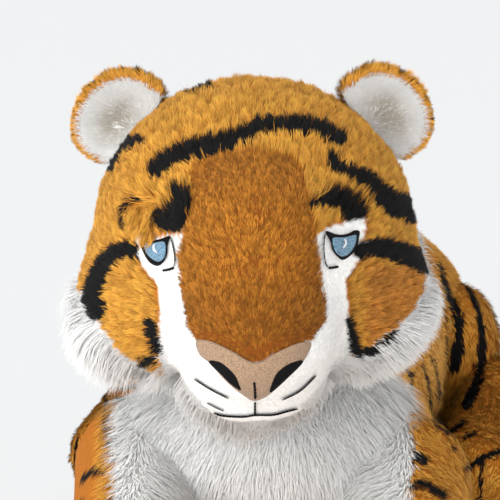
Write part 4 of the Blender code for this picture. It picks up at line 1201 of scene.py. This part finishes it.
def makeTail():
    form = Form(onFloor(limbGrid(tail["route"], tail["sizes"], tail["sizes"], tail["cap"], 110, 48)))

    def colourOf(points):
        route = np.array(tail["route"])
        _, share = lineDistance(points[:, :2], route[:, :2])
        fuzzy = share + softNoise(points, 0.01, 91) * 0.01
        isBand = np.zeros(len(points), bool)
        for place in (0.2, 0.34, 0.47, 0.59, 0.70):
            isBand |= np.abs(fuzzy - place) < 0.022
        return np.where(isBand | (points[:, 0] < -tail["tip"]), black, orange)

    skinPiece("tailStuffed", "tail", form, colourOf(form.corners), nodesNamed("tail_"))
    roots, normals = offFloor(93, *form.scatter(0.7, 92))
    route = np.array(tail["route"])
    _, share = lineDistance(roots[:, :2], route[:, :2])
    _, onward = alongRoute(route, share * (len(route) - 1))
    coat = dict(bodyCoat, seed=94, length=0.010, lift=0.6)
    growCoat("tailPile", "tail", roots, normals, onward, colourOf(roots), coat)


makeHead()
makeFace()
for side, word in ((-1, "left"), (1, "right")):
    makeEar(side, word)
makeNeck()
makeTrunk()
for side, word in ((-1, "left"), (1, "right")):
    makeForeleg(side, word)
    makeHindLeg(side, word)
makeTail()

floorLook = {"reach": 30.0, "matt": (0.9, 0.9, 0.9, 1), "even": (0.885, 0.90, 0.91, 1), "share": 0.90,
             "footprint": (0.11, 0.24), "fade": (0.9, 1.35)}


# A wide pale floor; what the camera and reflections see of it is mostly its own even white, except under the tiger,
# where an ellipse the size of its footprint keeps the plain shaded floor
def makeFloor():
    reach = floorLook["reach"]
    corners = np.array([(-reach, -reach, 0), (reach, -reach, 0), (reach, reach, 0), (-reach, reach, 0)])
    floor = meshPiece("paleFloor", corners, [np.array([[0, 1, 2, 3]])])
    material = bpy.data.materials.new("paleFloor")
    material.use_nodes = True
    tree = material.node_tree
    tree.nodes.clear()
    path = addNode(tree, "LightPath").outputs
    most = addNode(tree, "Math", {0: path["Is Camera Ray"], 1: path["Is Glossy Ray"]}, operation="MAXIMUM")
    also = addNode(tree, "Math", {0: most.outputs[0], 1: path["Is Transmission Ray"]}, operation="MAXIMUM")
    place = addNode(tree, "TexCoord")
    halfX, halfY = floorLook["footprint"]
    footprint = addNode(tree, "VectorMath", {0: place.outputs["Object"], 1: (1 / halfX, 1 / halfY, 0)},
                        operation="MULTIPLY")
    outwards = addNode(tree, "VectorMath", {0: footprint.outputs[0]}, operation="LENGTH")
    low, high = floorLook["fade"]
    clear = addNode(tree, "MapRange", {"From Min": low, "From Max": high, "To Max": floorLook["share"],
                                       "Value": outwards.outputs["Value"]}, interpolation_type="SMOOTHSTEP")
    share = addNode(tree, "Math", {0: also.outputs[0], 1: clear.outputs["Result"]}, operation="MULTIPLY")
    matt = addNode(tree, "BsdfDiffuse", {"Color": floorLook["matt"]})
    even = addNode(tree, "Emission", {"Color": floorLook["even"]})
    joined = addNode(tree, "MixShader", {"Fac": share.outputs[0], 1: matt.outputs[0], 2: even.outputs[0]})
    addNode(tree, "OutputMaterial", {"Surface": joined.outputs[0]})
    floor.data.materials.append(material)


lights = {"world": 0.80, "backdrop": 0.915, "target": (0, -0.2, 0.15),
          "lamps": [{"name": "keyLight", "power": 25.0, "size": 1.9, "place": (-0.9, -1.7, 1.6)},
                    {"name": "lowLight", "power": 26.0, "size": 1.5, "place": (-0.3, -2.1, 0.25)}]}


def makeLights():
    world = bpy.data.worlds.new("paleRoom")
    world.use_nodes = True
    tree = world.node_tree
    path = addNode(tree, "LightPath")
    strength = addNode(tree, "MapRange", {"To Min": lights["world"], "To Max": lights["backdrop"],
                                          "Value": path.outputs["Is Camera Ray"]})
    feed(tree, tree.nodes["Background"], {"Color": (1, 1, 1, 1), "Strength": strength.outputs["Result"]})
    bpy.context.scene.world = world
    for lamp in lights["lamps"]:
        thing = bpy.data.objects.new(lamp["name"], bpy.data.lights.new(lamp["name"], "AREA"))
        thing.data.energy = lamp["power"]
        thing.data.size = lamp["size"]
        place = np.array(lamp["place"])
        back = unit(place - np.array(lights["target"]))
        right = unit(np.cross((0, 0, 1), back))
        placeThing(thing, right, np.cross(back, right), back, place)


makeFloor()
makeLights()
bpy.context.scene.view_settings.view_transform = "Standard"
print("stage made")

bpy.context.view_layer.update()
